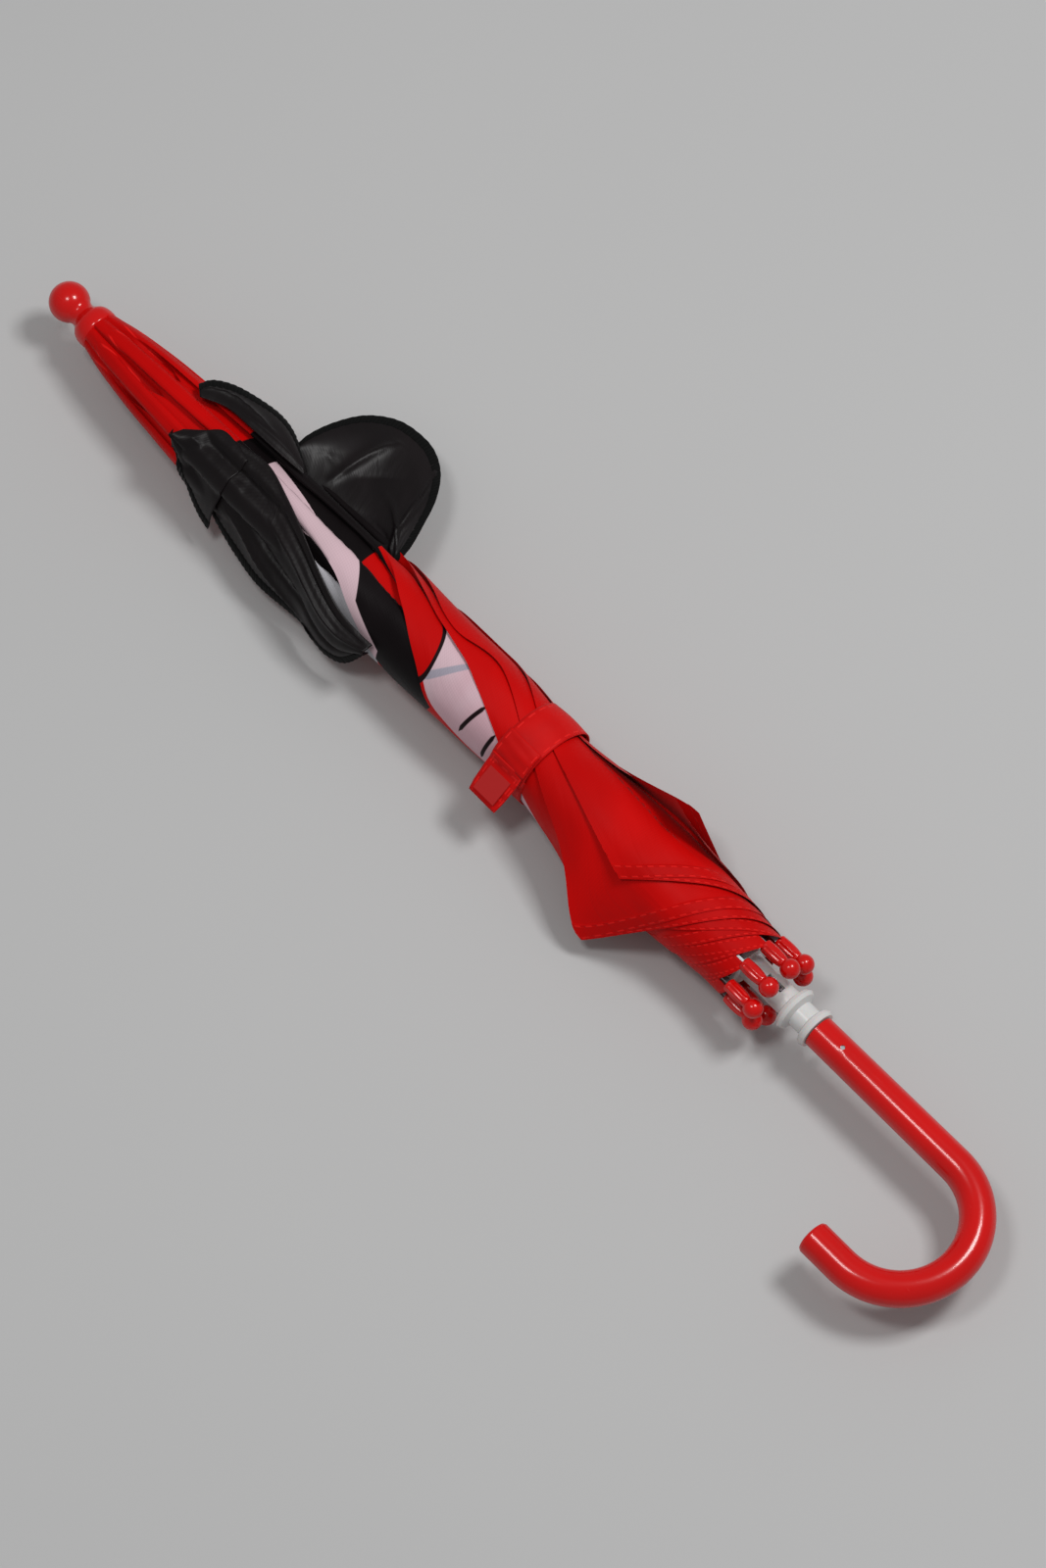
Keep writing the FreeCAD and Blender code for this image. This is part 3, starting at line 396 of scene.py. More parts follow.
def ribbed_binding(name):
    """Matt black tape, ribbed across."""
    n = Nodes(name)
    flat = attribute(n, "flat")
    ribs = n.add("ShaderNodeTexWave", {"Vector": flat, "Scale": 190.0, "Distortion": 1.0}, out=1,
                 bands_direction="X")
    fuzz = n.noise(flat, 900.0, 2.0)
    colour = n.mix(n.product(ribs, 0.6), (0.0018, 0.0019, 0.0019, 1), (0.0045, 0.0046, 0.0045, 1))
    height = n.math("ADD", n.product(ribs, 0.6), n.product(fuzz, 0.5))
    return n.set(Base_Color=colour, Roughness=n.ramp(fuzz, 0.72, 0.92), Normal=n.bump(height, 0.5, 0.0003),
                 Sheen_Weight=0.03, Specular_IOR_Level=0.10)


def plastic(name, base, worn, roughness, coat=0.0, milk=0.0):
    """Moulded plastic: faint flow marks in colour, a soft orange-peel skin and hair scratches."""
    n = Nodes(name)
    place = n.add("ShaderNodeTexCoord", out=3)
    flow = n.noise(place, 32.0, 4.0)
    peel = n.noise(place, 520.0, 2.0)
    stretched = n.add("ShaderNodeMapping", {"Vector": place, "Scale": (40.0, 700.0, 700.0)})
    scratches = n.add("ShaderNodeTexNoise", {"Vector": stretched, "Scale": 1.0, "Detail": 4.0})
    lines = n.step(scratches, 0.66, 0.72)
    colour = n.mix(n.step(flow, 0.30, 0.72), base, worn)
    rough = n.math("ADD", n.ramp(flow, roughness - 0.03, roughness + 0.05), n.product(lines, 0.10))
    height = n.math("SUBTRACT", n.product(peel, 0.5), n.product(lines, 0.6))
    if milk:
        n.set(Subsurface_Weight=milk, Subsurface_Scale=0.003)
    return n.set(Base_Color=colour, Roughness=rough, Normal=n.bump(height, 0.10, 0.0002),
                 Coat_Weight=coat, Coat_Roughness=0.06, Specular_IOR_Level=0.30)


def metal(name, base, roughness, direction=(30.0, 900.0, 900.0)):
    """Drawn or plated metal, brushed along its length and a little stained."""
    n = Nodes(name)
    place = n.add("ShaderNodeTexCoord", out=3)
    brushed = n.noise(n.add("ShaderNodeMapping", {"Vector": place, "Scale": direction}), 1.0)
    stain = n.noise(place, 45.0)
    dark = tuple(c * 0.72 for c in base[:3]) + (1,)
    return n.set(Base_Color=n.mix(n.step(stain, 0.35, 0.75), base, dark), Metallic=1.0,
                 Roughness=n.ramp(brushed, roughness - 0.05, roughness + 0.12),
                 Normal=n.bump(brushed, 0.12, 0.0002))


def hook_pile(name):
    """The rough face of a hook-and-loop pad."""
    n = Nodes(name)
    hairs = n.noise(attribute(n, "flat"), 1100.0, 2.0)
    return n.set(Base_Color=n.mix(hairs, (0.34, 0.002, 0.002, 1), (0.52, 0.006, 0.005, 1)),
                 Roughness=n.ramp(hairs, 0.7, 0.95), Normal=n.bump(hairs, 0.9, 0.0008))


red_cloth = cloth_material("red_cloth")
field_cloth = cloth_material("red_cloth_pale_field", red_and_pale)
black_cloth = cloth_material("red_cloth_black_field", black_and_red, roughness=0.42)
seam_cloth = cloth_material("red_cloth_pale_seam", pale_and_seam)
patch_cloth = cloth_material("red_cloth_black_patch", black_patch)
black_satin = satin("black_satin")
binding_tape = ribbed_binding("black_binding")
red_plastic = plastic("red_plastic", (0.62, 0.0015, 0.0010, 1), (0.56, 0.0012, 0.0008, 1), 0.20, coat=0.2)
white_plastic = plastic("white_plastic", (0.64, 0.63, 0.62, 1), (0.59, 0.59, 0.585, 1), 0.26, milk=0.15)
rib_metal = metal("rib_steel", (0.50, 0.51, 0.53, 1), 0.32)
rivet_metal = metal("rivet_steel", (0.62, 0.62, 0.62, 1), 0.25)
spring_metal = metal("spring_steel", (0.45, 0.46, 0.48, 1), 0.30)
plated = metal("plated_tube", (0.72, 0.73, 0.75, 1), 0.14, (18.0, 600.0, 600.0))
hook_loop = hook_pile("hook_and_loop")

# ---------------------------------------------------------------- the furled canopy
# stations along the shaft: how far the pleats are wound round it (degrees), the radius of the outside and of
# the roots, how far the bundle leans, the hidden turn of the spare cloth and how far each fold runs ahead
WINDING = [(0, 0), (120, 2), (160, 10), (196, 25), (214, 52), (238, 98), (253, 118), (282, 145), (300, 163),
           (340, 190), (380, 217), (444, 240)]
OUTER = [(26, 8.6), (30, 9.3), (35, 10.9), (45, 12.9), (54, 14.1), (63, 15.3), (72, 16.2), (82, 16.9),
         (92, 17.9), (110, 19.0), (130, 20.0), (226, 20.7), (280, 20.5), (302, 18.7), (318, 18.7),
         (332, 21.0), (350, 23.0), (384, 24.5), (410, 22.0), (430, 19.4), (438, 17.8), (446, 16.6)]
GATHER = [(26, 8.2), (31, 8.6), (36, 9.4), (50, 10.6), (90, 11.0), (140, 10.0)]
ASIDE = [(60, 0), (100, -0.4), (150, 0.6), (210, 1.9), (300, 2.4), (330, 0.6), (384, 1.6), (446, 2.2)]
HIDDEN_TURN = [(50, 0), (80, 45), (120, 90), (170, 115), (234, 125), (300, 140), (350, 120), (385, 60),
               (420, 15), (446, 0)]
LEAD = {1: [(150, 0), (190, -27), (218, -25), (233, -32), (246, -28), (253, -22), (262, 0), (275, 0)],
        2: [(60, 0), (130, -12), (214, 9), (253, 0)],
        3: [(0, 0)],
        4: [(310, 0), (370, -8)],
        5: [(310, 0), (370, -16)],
        6: [(240, 0), (251, -7), (262, -20), (272, -27), (284, -20), (296, -11), (311, -1), (330, 6),
            (370, 12)],
        7: [(180, 0), (210, 17), (225, 12), (240, 6), (252, -3), (262, -22), (272, -35), (283, -34),
            (294, -30), (312, -16), (330, 0), (374, 28)],
        8: [(185, 0), (205, -10), (220, -13), (234, -25), (250, -37), (264, -43), (284, -39), (298, -32),
            (310, -14), (325, -2), (350, 6), (380, -2)]}
FLARE = {7: 56.0, 8: 52.0, 5: 50.0, 4: 34.0, 6: 16.0, 1: 30.0, 2: 14.0, 3: 14.0}
DRAWN_UP = {8: 20.0}    # how far a fold's corner is drawn back along the shaft
DRAWN_FROM, DRAWN_OVER = 270.0, 76.0    # where along the cloth that starts, and over what length
WOUND_FROM, WOUND_OVER = 150.0, 90.0    # the pleats go from standing to wound
TIGHT_UNTIL, TIGHT_OVER = 305.0, 25.0   # wound flat down to the strap, then loose again
FLARE_FROM, FLARE_OVER = 322.0, 56.0    # the corners stand out past the strap
CREASED_FROM = 185.0    # the folds are sharp past the fluted crown
ROOT_GAP = 1.7          # the cloth's roots stay this far outside the ribs' line
FLOOR_GAP = 0.5
STATION_STEP = 2.0
STATIONS = np.arange(24.0, 452.0, STATION_STEP)
OUT_COLUMNS, IN_COLUMNS = 60, 52


def rib_radius(x):
    return PIVOT_RADIUS + (x - NOTCH) * RIB_SLOPE


def hem_length(t):
    """Crown to hem at t from the seam (0) to the fold (1)."""
    return MIDDLE + (SIDE - MIDDLE) * (1 - t ** 1.3)


def half_pleat(k, outgoing):
    """Points (y, z) across half of gore k's pleat, from its seam to its fold, at every station along the
    shaft. They are evenly spaced along the cloth."""
    x = STATIONS[:, None]
    share = np.linspace(0, 1, 400)[None, :]
    reach = STEP / 2 + curve(x, WINDING)
    tip = reach + curve(x, LEAD[k])
    wound = ease((x - WOUND_FROM) / WOUND_OVER)
    n = 3.0 - 2.0 * wound
    root = np.maximum(rib_radius(x) + ROOT_GAP, curve(x, GATHER))
    outer_base = curve(x, OUTER)

    # between the gather and the strap each fold lies flat on the next one round
    covered = np.maximum(reach + curve(x, LEAD[(k - 2) % GORES + 1]) - STEP, 0.3 * tip)
    covered = np.minimum(covered, 0.85 * tip)
    tight = wound * (1 - ease((x - TIGHT_UNTIL) / TIGHT_OVER))

    def growth(a):
        q = a / reach
        loose = 1 - np.maximum(0, 1 - q) ** n + 0.12 * np.maximum(0, q - 1)
        under = np.clip(a / covered, 0, 1)
        over = np.clip((a - covered) / (tip - covered), 0, 1)
        return loose * (1 - tight) + (0.88 * under ** 0.9 + 0.12 * over) * tight

    if outgoing:
        a = share * tip
        g = growth(a)
    else:
        b = share * (tip - STEP)
        a = b + STEP
        low, high = growth(np.maximum(b, 0)), growth(a)
        g = low + (high - low) * (1 - (1 - share) ** n)
    azimuth = FIRST_SEAM + STEP * (k - 1) + a
    outer = outer_base + curve(x, ASIDE) * np.cos(np.radians(azimuth - 18))
    # the hidden layers are turned on inside and come back: the spare cloth of each pleat
    hump = np.sin(np.pi * np.clip(g / (0.78 * (1 - tight) + 0.58 * tight), 0, 1)) ** 2
    azimuth = azimuth + curve(x, HIDDEN_TURN) * hump * (1 if outgoing else -1)
    r = root + np.maximum(outer - root, 0.8) * g
    surface = ease((g - 0.70) / 0.2)
    r = r + 0.40 * surface * ripple(x / 22, np.radians(azimuth) * 2.2) * ease((x - 60) / 60)
    if not outgoing:
        r = r - 0.5 * surface * tight
    # past the strap the fold's corner stands out in a flat sheet
    flare = FLARE[k] * ease((x - FLARE_FROM) / FLARE_OVER)
    beta = np.clip(a - (tip - flare), 0, 58) * ease(share * 3)
    r = r / np.cos(np.radians(beta))
    # nothing of the furled bundle goes under the floor
    down = -np.sin(np.radians(azimuth))
    limit = (AXIS_Z - FLOOR_GAP) / np.maximum(down, 0.2)
    pressed = limit - 1.0 + (1 - np.exp(-np.maximum(r - limit + 1.0, 0)))
    r = np.where(r > limit - 1.0, pressed, r)
    y, z = r * np.cos(np.radians(azimuth)), r * np.sin(np.radians(azimuth))
    columns = np.linspace(0, 1, OUT_COLUMNS + 1 if outgoing else IN_COLUMNS + 1)
    made = np.zeros((len(STATIONS), len(columns), 2))
    for i in range(len(STATIONS)):
        run = np.concatenate([[0], np.cumsum(np.hypot(np.diff(y[i]), np.diff(z[i])))])
        made[i, :, 0] = np.interp(columns, run / run[-1], y[i])
        made[i, :, 1] = np.interp(columns, run / run[-1], z[i])
    return made


pleats = {k: np.concatenate([half_pleat(k, True), half_pleat(k, False)[:, -2::-1]], 1)
          for k in range(1, GORES + 1)}
COLUMNS = np.concatenate([np.linspace(0, 0.5, OUT_COLUMNS + 1), np.linspace(0.5, 1, IN_COLUMNS + 1)[1:]])


def reach_round(points, azimuths, window):
    """The largest radius of points (y, z) within window degrees of each azimuth."""
    r, at = np.hypot(points[:, 0], points[:, 1]), np.degrees(np.arctan2(points[:, 1], points[:, 0]))
    return np.array([r[np.abs((at - az + 180) % 360 - 180) < window].max() for az in azimuths])


def outer_skin(x_low, x_high, azimuths, above):
    """Radius over the bundle's outside at these azimuths, the largest between two places along the shaft."""
    use = (STATIONS >= x_low) & (STATIONS <= x_high)
    skin = reach_round(np.concatenate([pleats[k][use].reshape(-1, 2) for k in pleats]), azimuths, 7)
    for _ in range(3):
        skin = np.maximum(skin, (np.roll(skin, 1) + np.roll(skin, -1)) / 2)
    return skin + above


SKIN_STEP = 5.0
SKIN_AT = np.arange(0, 360, SKIN_STEP)
SKIN = np.stack([reach_round(np.concatenate([pleats[k][i] for k in pleats]), SKIN_AT, SKIN_STEP)
                 for i in range(len(STATIONS))])


def over_skin(points, above):
    """Points (x, y, z) in millimetres pushed out, where they need it, to lie on the bundle."""
    x, y, z = points[..., 0], points[..., 1], points[..., 2]
    r = np.hypot(y, z)
    i = np.clip((x - STATIONS[0]) / STATION_STEP, 0, len(STATIONS) - 1.001)
    j = np.mod(np.degrees(np.arctan2(z, y)), 360) / SKIN_STEP
    i0, j0 = i.astype(int), j.astype(int) % len(SKIN_AT)
    a, b = i - i0, j - np.floor(j)
    i1, j1 = i0 + 1, (j0 + 1) % len(SKIN_AT)
    skin = (SKIN[i0, j0] * (1 - a) * (1 - b) + SKIN[i1, j0] * a * (1 - b) + SKIN[i0, j1] * (1 - a) * b
            + SKIN[i1, j1] * a * b) + above
    pushed = np.maximum(r, skin)
    return np.stack([x, y * pushed / r, z * pushed / r], -1)


GORE_ROWS, ROW_BIAS = 125, 0.92     # rows from crown to hem band, and how they crowd towards the crown
HEM_BAND = 10.0                     # the last stretch, which has rows of its own
HEM_LINES = [7.8, 7.2, 6.6, 5.4, 3.4, 1.6, 0.7, 0.0]    # those rows, back from the hem's edge
HEM_RAISE, HEM_WIDTH, HEM_SOFT = 0.22, 6.4, 1.2         # the turned hem stands this much proud
CLOTHS = {1: field_cloth, 2: black_cloth, 3: seam_cloth, 8: patch_cloth}


def from_seam(v):
    """0 at a gore's two seams and 1 at its fold, for v from 0 to 1 across it."""
    return 1 - np.abs(2 * v - 1)


def crease_fold(piece, x):
    """Marks a gore's fold sharp, past the fluted crown."""
    width = len(COLUMNS)
    crease = {(i * width + OUT_COLUMNS, (i + 1) * width + OUT_COLUMNS) for i in range(len(x) - 1)
              if x[i, OUT_COLUMNS] > CREASED_FROM}
    sharp = piece.data.attributes.new("sharp_edge", "BOOLEAN", "EDGE")
    for e in piece.data.edges:
        if tuple(sorted(e.vertices)) in crease:
            sharp.data[e.index].value = True


def gore(k):
    """One gore's cloth, laid in its pleat."""
    hem = hem_length(from_seam(COLUMNS))
    body_rows = [(hem - HEM_BAND) * u for u in np.linspace(0.0, 1.0, GORE_ROWS) ** ROW_BIAS]
    rho = np.array(body_rows + [hem - e for e in HEM_LINES])
    v = np.broadcast_to(COLUMNS, rho.shape)
    hem = np.broadcast_to(hem, rho.shape)
    x = NOTCH - CROWN_LEAD + rho * (1 + CROWN_LEAD / SIDE)
    x = x - DRAWN_UP.get(k, 0.0) * from_seam(v) ** 2 * ease((rho - DRAWN_FROM) / DRAWN_OVER)
    y = np.stack([np.interp(x[:, j], STATIONS, pleats[k][:, j, 0]) for j in range(x.shape[1])], 1)
    z = np.stack([np.interp(x[:, j], STATIONS, pleats[k][:, j, 1]) for j in range(x.shape[1])], 1)
    raised = 1 + HEM_RAISE * (1 - ease((hem - rho - HEM_WIDTH) / HEM_SOFT)) / np.hypot(y, z)
    points = spot(x, y * raised, z * raised)
    theta = np.radians((v - 0.5) * APEX)
    flat = np.stack([rho * np.sin(theta), rho * np.cos(theta), np.zeros_like(rho)], -1) * MM
    seam = rho * np.sin(np.radians(APEX / 2) * from_seam(v)) * MM
    piece = grid_object(f"canopy_gore_{k}_cloth", points, CLOTHS.get(k, red_cloth), flat,
                        extra={"edge": (hem - rho) * MM, "seam": seam, "run": (rho * theta) * MM})
    crease_fold(piece, x)
    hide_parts(f"canopy_gore_{k}")
    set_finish(piece, "red_cloth")
    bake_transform(piece)
    return piece


gore_pieces = {k: gore(k) for k in range(1, GORES + 1)}


# ---------------------------------------------------------------- sheets laid through given points: flaps and strap
def spline(points, count):
    """A smooth line through points, evenly spaced along it."""
    p = np.array(points, float)
    ends = np.concatenate([[2 * p[0] - p[1]], p, [2 * p[-1] - p[-2]]])
    line = []
    for i in range(1, len(ends) - 2):
        t = np.linspace(0, 1, 24, endpoint=False)[:, None]
        a, b, c, d = ends[i - 1:i + 3]
        line.append(0.5 * (2 * b + (c - a) * t + (2 * a - 5 * b + 4 * c - d) * t ** 2
                           + (3 * b - a - 3 * c + d) * t ** 3))
    line = np.concatenate(line + [p[-1:]])
    run = np.concatenate([[0], np.cumsum(np.linalg.norm(np.diff(line, axis=0), axis=1))])
    stops = np.linspace(0, run[-1], count)
    return np.stack([np.interp(stops, run, line[:, i]) for i in range(p.shape[1])], -1)


def surface_normals(points):
    du, dv = np.gradient(points, axis=0), np.gradient(points, axis=1)
    n = np.cross(du, dv)
    return n / np.maximum(np.linalg.norm(n, axis=-1, keepdims=True), 1e-9)


def flat_of(points):
    """Distances along the two directions of a laid grid in millimetres, as flat coordinates in metres."""
    steps_u = np.linalg.norm(np.diff(points, axis=0), axis=-1)
    steps_w = np.linalg.norm(np.diff(points, axis=1), axis=-1)
    u = np.concatenate([np.zeros((1, points.shape[1])), np.cumsum(steps_u, 0)])
    w = np.concatenate([np.zeros((points.shape[0], 1)), np.cumsum(steps_w, 1)], 1)
    return np.stack([u, w, np.zeros_like(u)], -1) * MM


def binding(name, rim, inward, normal, width, material, half=0.42):
    """A tape folded over a sheet's edge. rim is a row of points in millimetres, and inward and normal are
    the directions at each."""
    one_side = [(width, half * 0.5), (width * 0.96, half), (width * 0.5, half * 1.15), (0.5, half),
                (-0.35, half * 0.6)]
    section = one_side + [(-0.55, 0.0)] + [(a, -b) for a, b in reversed(one_side)]
    count = len(section)
    ring = np.stack([rim + inward * a + normal * b for a, b in section], 1)
    inside = np.array([1 if 0 < i < count - 1 else 0 for i in range(count)])
    pucker = 0.16 * np.sin(np.arange(len(rim)) * 2.1)[:, None, None] * inside[None, :, None]
    ring = ring + normal[:, None, :] * pucker
    along = np.concatenate([[0], np.cumsum(np.linalg.norm(np.diff(rim, axis=0), axis=1))])
    flat = np.stack([np.repeat(along[:, None], count, 1),
                     np.repeat(np.linspace(0, 2 * width, count)[None], len(rim), 0),
                     np.zeros((len(rim), count))], -1) * MM
    return grid_object(name, spot(ring[..., 0], ring[..., 1], ring[..., 2]), material, flat)


LINING, STRAP_CLOTH = 0.5, 0.6      # thickness of a lined flap and of the strap


def thicken(piece, thickness):
    solid = piece.modifiers.new("thickness", "SOLIDIFY")
    solid.thickness, solid.offset = thickness * MM, 0.0


def flap(name, inner, rim, arch, folds, body, rows=90, columns=44, tape=4.6, above=None):
    """A lined flap laid between an inner line and its bound rim. arch(p, q) gives (dy, dz); folds are ridges
    (p0, q0, p1, q1, height, half width), in shares along and across the flap. With above given, the flap is
    pushed out to lie that far over the bundle."""
    a, b = spline(inner, rows), spline(rim, rows)
    q = np.linspace(0, 1, columns)[None, :, None]
    points = a[:, None, :] * (1 - q) + b[:, None, :] * q
    p = np.repeat(np.linspace(0, 1, rows)[:, None], columns, 1)
    qq = np.repeat(np.linspace(0, 1, columns)[None], rows, 0)
    dy, dz = arch(p, qq)
    points = points + np.stack([np.zeros_like(dy), dy, dz], -1)
    normals = surface_normals(points)
    lift = 0.35 * ripple(p * 5, qq * 4, len(name)) * np.sin(np.pi * qq)
    for p0, q0, p1, q1, height, wide in folds:
        d = np.array([p1 - p0, q1 - q0])
        t = np.clip(((p - p0) * d[0] + (qq - q0) * d[1]) / (d @ d), 0, 1)
        off = np.hypot(p - p0 - t * d[0], qq - q0 - t * d[1])
        lift = lift + height * np.exp(-off / wide) * np.sin(np.pi * np.clip(t, 0.06, 0.94)) ** 0.5
    if normals[rows // 2, columns // 2, 2] < 0:
        normals = -normals
    points = points + normals * lift[..., None]
    if above is not None:
        points = over_skin(points, above)
    points[..., 2] = np.maximum(points[..., 2], -AXIS_Z + 1.0)
    sheet = grid_object(name, spot(points[..., 0], points[..., 1], points[..., 2]), black_satin,
                        flat_of(points))
    thicken(sheet, LINING)
    inward = points[:, -6] - points[:, -1]
    inward = inward / np.maximum(np.linalg.norm(inward, axis=-1, keepdims=True), 1e-6)
    edge_normals = surface_normals(points)[:, -2]
    tape_piece = binding(name + "_binding", points[:, -1], inward, edge_normals, tape, binding_tape)
    for piece in (sheet, tape_piece):
        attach(piece, body)
        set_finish(piece, "black_satin")
    return sheet, tape_piece


ear_inner = [(134, 11, 4.6), (150, 11, 4.6), (168, 11.2, 4.8), (186, 11.4, 5), (203, 11.6, 5)]
ear_rim = [(134, 17, 9), (133, 29, 9), (135, 43, 6), (140, 56, 2.5), (149, 65.5, -1), (160, 68.5, -2),
           (171, 67.5, -2), (182, 61, 0), (191, 50, 3), (197, 38, 5.5), (202, 26, 7), (204, 18, 8)]
round_ear, round_tape = flap(
    "ear_round", ear_inner, ear_rim,
    lambda p, q: (3.0 * np.sin(np.pi * q) * np.sin(np.pi * p) ** 0.5, 3.2 * np.sin(np.pi * q) ** 1.2),
    [(0.34, 0.20, 0.46, 0.78, 2.8, 0.022), (0.90, 0.30, 0.64, 0.93, 3.2, 0.024),
     (0.94, 0.45, 0.60, 0.40, 2.2, 0.024), (0.22, 0.45, 0.40, 0.25, -1.4, 0.04),
     (0.52, 0.12, 0.86, 0.28, -1.6, 0.04), (0.42, 0.30, 0.60, 0.60, -1.8, 0.09)], "gore_panel_8")
turn_inner = [(92, 4, 19.5), (104, 9, 19.5), (118, 9.5, 20.5), (133, 10, 20.5), (150, 12, 18)]
turn_rim = [(86.5, 8, 18), (89, 14, 17.5), (96, 20, 15), (107, 24, 13), (119, 26, 12), (130, 24, 13),
            (142, 18, 15)]
turnback, turn_tape = flap(
    "ear_round_turnback", turn_inner, turn_rim,
    lambda p, q: (np.zeros_like(q), 1.8 * np.sin(np.pi * q) * (0.4 + 0.6 * p)),
    [(0.10, 0.55, 0.62, 0.35, 2.2, 0.07), (0.30, 0.15, 0.95, 0.20, 1.6, 0.08)],
    "gore_panel_8", rows=64, columns=26, tape=4.2, above=1.0)
small_inner = [(98, -11, 17), (106, -5, 19.5), (112, 0, 20.5), (120, 0, 20.8), (130, -2, 20.5)]
small_rim = [(94, -13, 14), (99, -17, 8), (106, -19.5, 0), (114, -22.5, -6), (122, -25, -9),
             (129.5, -26.5, -10)]
small_lobe, small_tape = flap(
    "ear_folded_small", small_inner, small_rim,
    lambda p, q: (-5.0 * np.sin(np.pi * q), 2.2 * np.sin(np.pi * q)),
    [(0.25, 0.20, 0.80, 0.45, 2.0, 0.05), (0.05, 0.5, 0.6, 0.66, -1.8, 0.06)],
    "gore_panel_4", rows=56, columns=36, above=1.9)
big_inner = [(112, -1, 20.5), (124, 1, 21.5), (138, 2.8, 21.8), (155, -2, 22.0), (172, -8, 20.8),
             (190, -14.5, 17), (206, -18.5, 12.5), (218, -19, 10.5), (227, -18.5, 9.5)]
big_rim = [(126, -21, -7), (134, -23, -9), (146, -25.5, -11), (163, -28, -12), (180, -27, -12),
           (190, -26.5, -12), (200, -28.5, -12), (209, -29, -12), (218, -26.5, -9), (226, -20.5, 4)]
big_lobe, big_tape = flap(
    "ear_folded_large", big_inner, big_rim,
    lambda p, q: (-4.6 * np.sin(np.pi * q), 2.0 * np.sin(np.pi * q)),
    [(0.02, 0.22, 0.98, 0.34, 2.2, 0.03), (0.04, 0.42, 0.92, 0.70, -3.2, 0.035),
     (0.05, 0.58, 0.66, 0.90, 1.8, 0.035), (0.10, 0.12, 0.96, 0.14, -1.8, 0.03)],
    "gore_panel_4", rows=120, columns=52, tape=5.2, above=1.0)
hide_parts("ear_flap_round")
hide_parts("ear_flap_folded")

# ---------------------------------------------------------------- the closing strap
STRAP_LOW, STRAP_HIGH = 299.5, 318.5
around = np.arange(0, 360, 4.0)
strap_skin = outer_skin(STRAP_LOW - 1, STRAP_HIGH + 1, around, 0.55)
strap_skin = np.concatenate([strap_skin[-3:], strap_skin, strap_skin[:3]])
strap_skin = np.convolve(strap_skin, np.ones(7) / 7, "valid")


def strap_radius(azimuth):
    return np.interp(np.mod(azimuth, 360), np.append(around, 360), np.append(strap_skin, strap_skin[0]))


def strap_material(name, stitch_lines):
    """The strap's double cloth. Each stitched line is (axis, where it is on it, from, to), in metres."""
    n = Nodes(name)
    flat, run, width = flat_axes(n)
    rows = None
    for axis, where, low, high in stitch_lines:
        value, other = (run, width) if axis == "x" else (width, run)
        line = n.product(n.near(value, where, 0.0002, 0.0005), between(n, other, low, high, 0.0002))
        line = n.product(line, n.dashes(other, 0.2, 0.55))
        rows = line if rows is None else n.math("MAXIMUM", rows, line)
    fine = n.noise(flat, 420.0, 2.0)
    warp = n.add("ShaderNodeTexWave", {"Vector": flat, "Scale": 300.0}, out=1, bands_direction="X")
    colour = n.mix(n.product(rows, 0.75), mottled(n, 40.0, 0.3, 0.7, DEEP_RED, RED), THREAD)
    height = n.math("ADD", n.product(warp, 0.3), n.product(fine, 0.5))
    normal = n.bump(height, 0.22, 0.0002)
    normal = n.bump(n.noise(flat, 55.0), 0.25, 0.0010, normal)
    normal = n.bump(n.product(rows, -1.0), 0.45, 0.0005, normal)
    return n.set(Base_Color=colour, Roughness=n.ramp(fine, 0.44, 0.60), Normal=normal, Sheen_Weight=0.03,
                 Specular_IOR_Level=0.12)


EDGE_ROWS = (0.0016, 0.0174)        # stitched rows along the strap's two edges
BOX_START, BOX_END = 0.0028, 0.0148     # the stitched box that holds the hook-and-loop pad
band_material = strap_material("strap_cloth", [("y", where, -1, 1) for where in EDGE_ROWS])
tab_material = strap_material("strap_tab_cloth", (
    [("y", where, -1, 0.024) for where in EDGE_ROWS]
    + [("x", where, *EDGE_ROWS) for where in (BOX_START, BOX_END)]
    + [("y", where, BOX_START, BOX_END) for where in (0.0030, 0.0160)]))


def round_path(turn, radius):
    """Points (y, z) at these turns round the bundle, in radians."""
    return np.stack([radius * np.cos(turn), radius * np.sin(turn)], -1)


def band(name, path, x_low, x_high, material, taper=(0, 0), across=15, waves=0.25):
    """A flat strap that follows a line of (y, z) round the bundle; the piece and its length."""
    path = np.array(path)
    run = np.concatenate([[0], np.cumsum(np.hypot(*np.diff(path, axis=0).T))])
    s = np.linspace(0, 1, across)[None, :]
    t = (run / run[-1])[:, None]
    low, high = x_low + taper[0] * t ** 3, x_high + taper[1] * t ** 3
    x = (low * (1 - s) + high * s) * np.ones_like(t)
    y, z = np.repeat(path[:, :1], across, 1), np.repeat(path[:, 1:], across, 1)
    r = np.hypot(y, z)
    bulge = waves * (np.sin(9 * t + 5 * s) + np.cos(17 * t - 3 * s)) + 0.35 * np.sin(np.pi * s)
    points = spot(x, y * (1 + bulge / r), z * (1 + bulge / r))
    flat = np.stack([np.repeat(run[:, None], across, 1), np.repeat(s * (x_high - x_low), len(run), 0),
                     np.zeros_like(x)], -1) * MM
    made = grid_object(name, points, material, flat)
    thicken(made, STRAP_CLOTH)
    return made, run[-1]


turn = np.radians(np.arange(-212, 156, 2.0))
ring_r = strap_radius(np.degrees(turn)) + 0.9 * ease((np.degrees(turn) - 90) / 40)
strap_ring, ring_length = band("closure_strap_band", round_path(turn, ring_r), STRAP_LOW, STRAP_HIGH,
                               band_material)
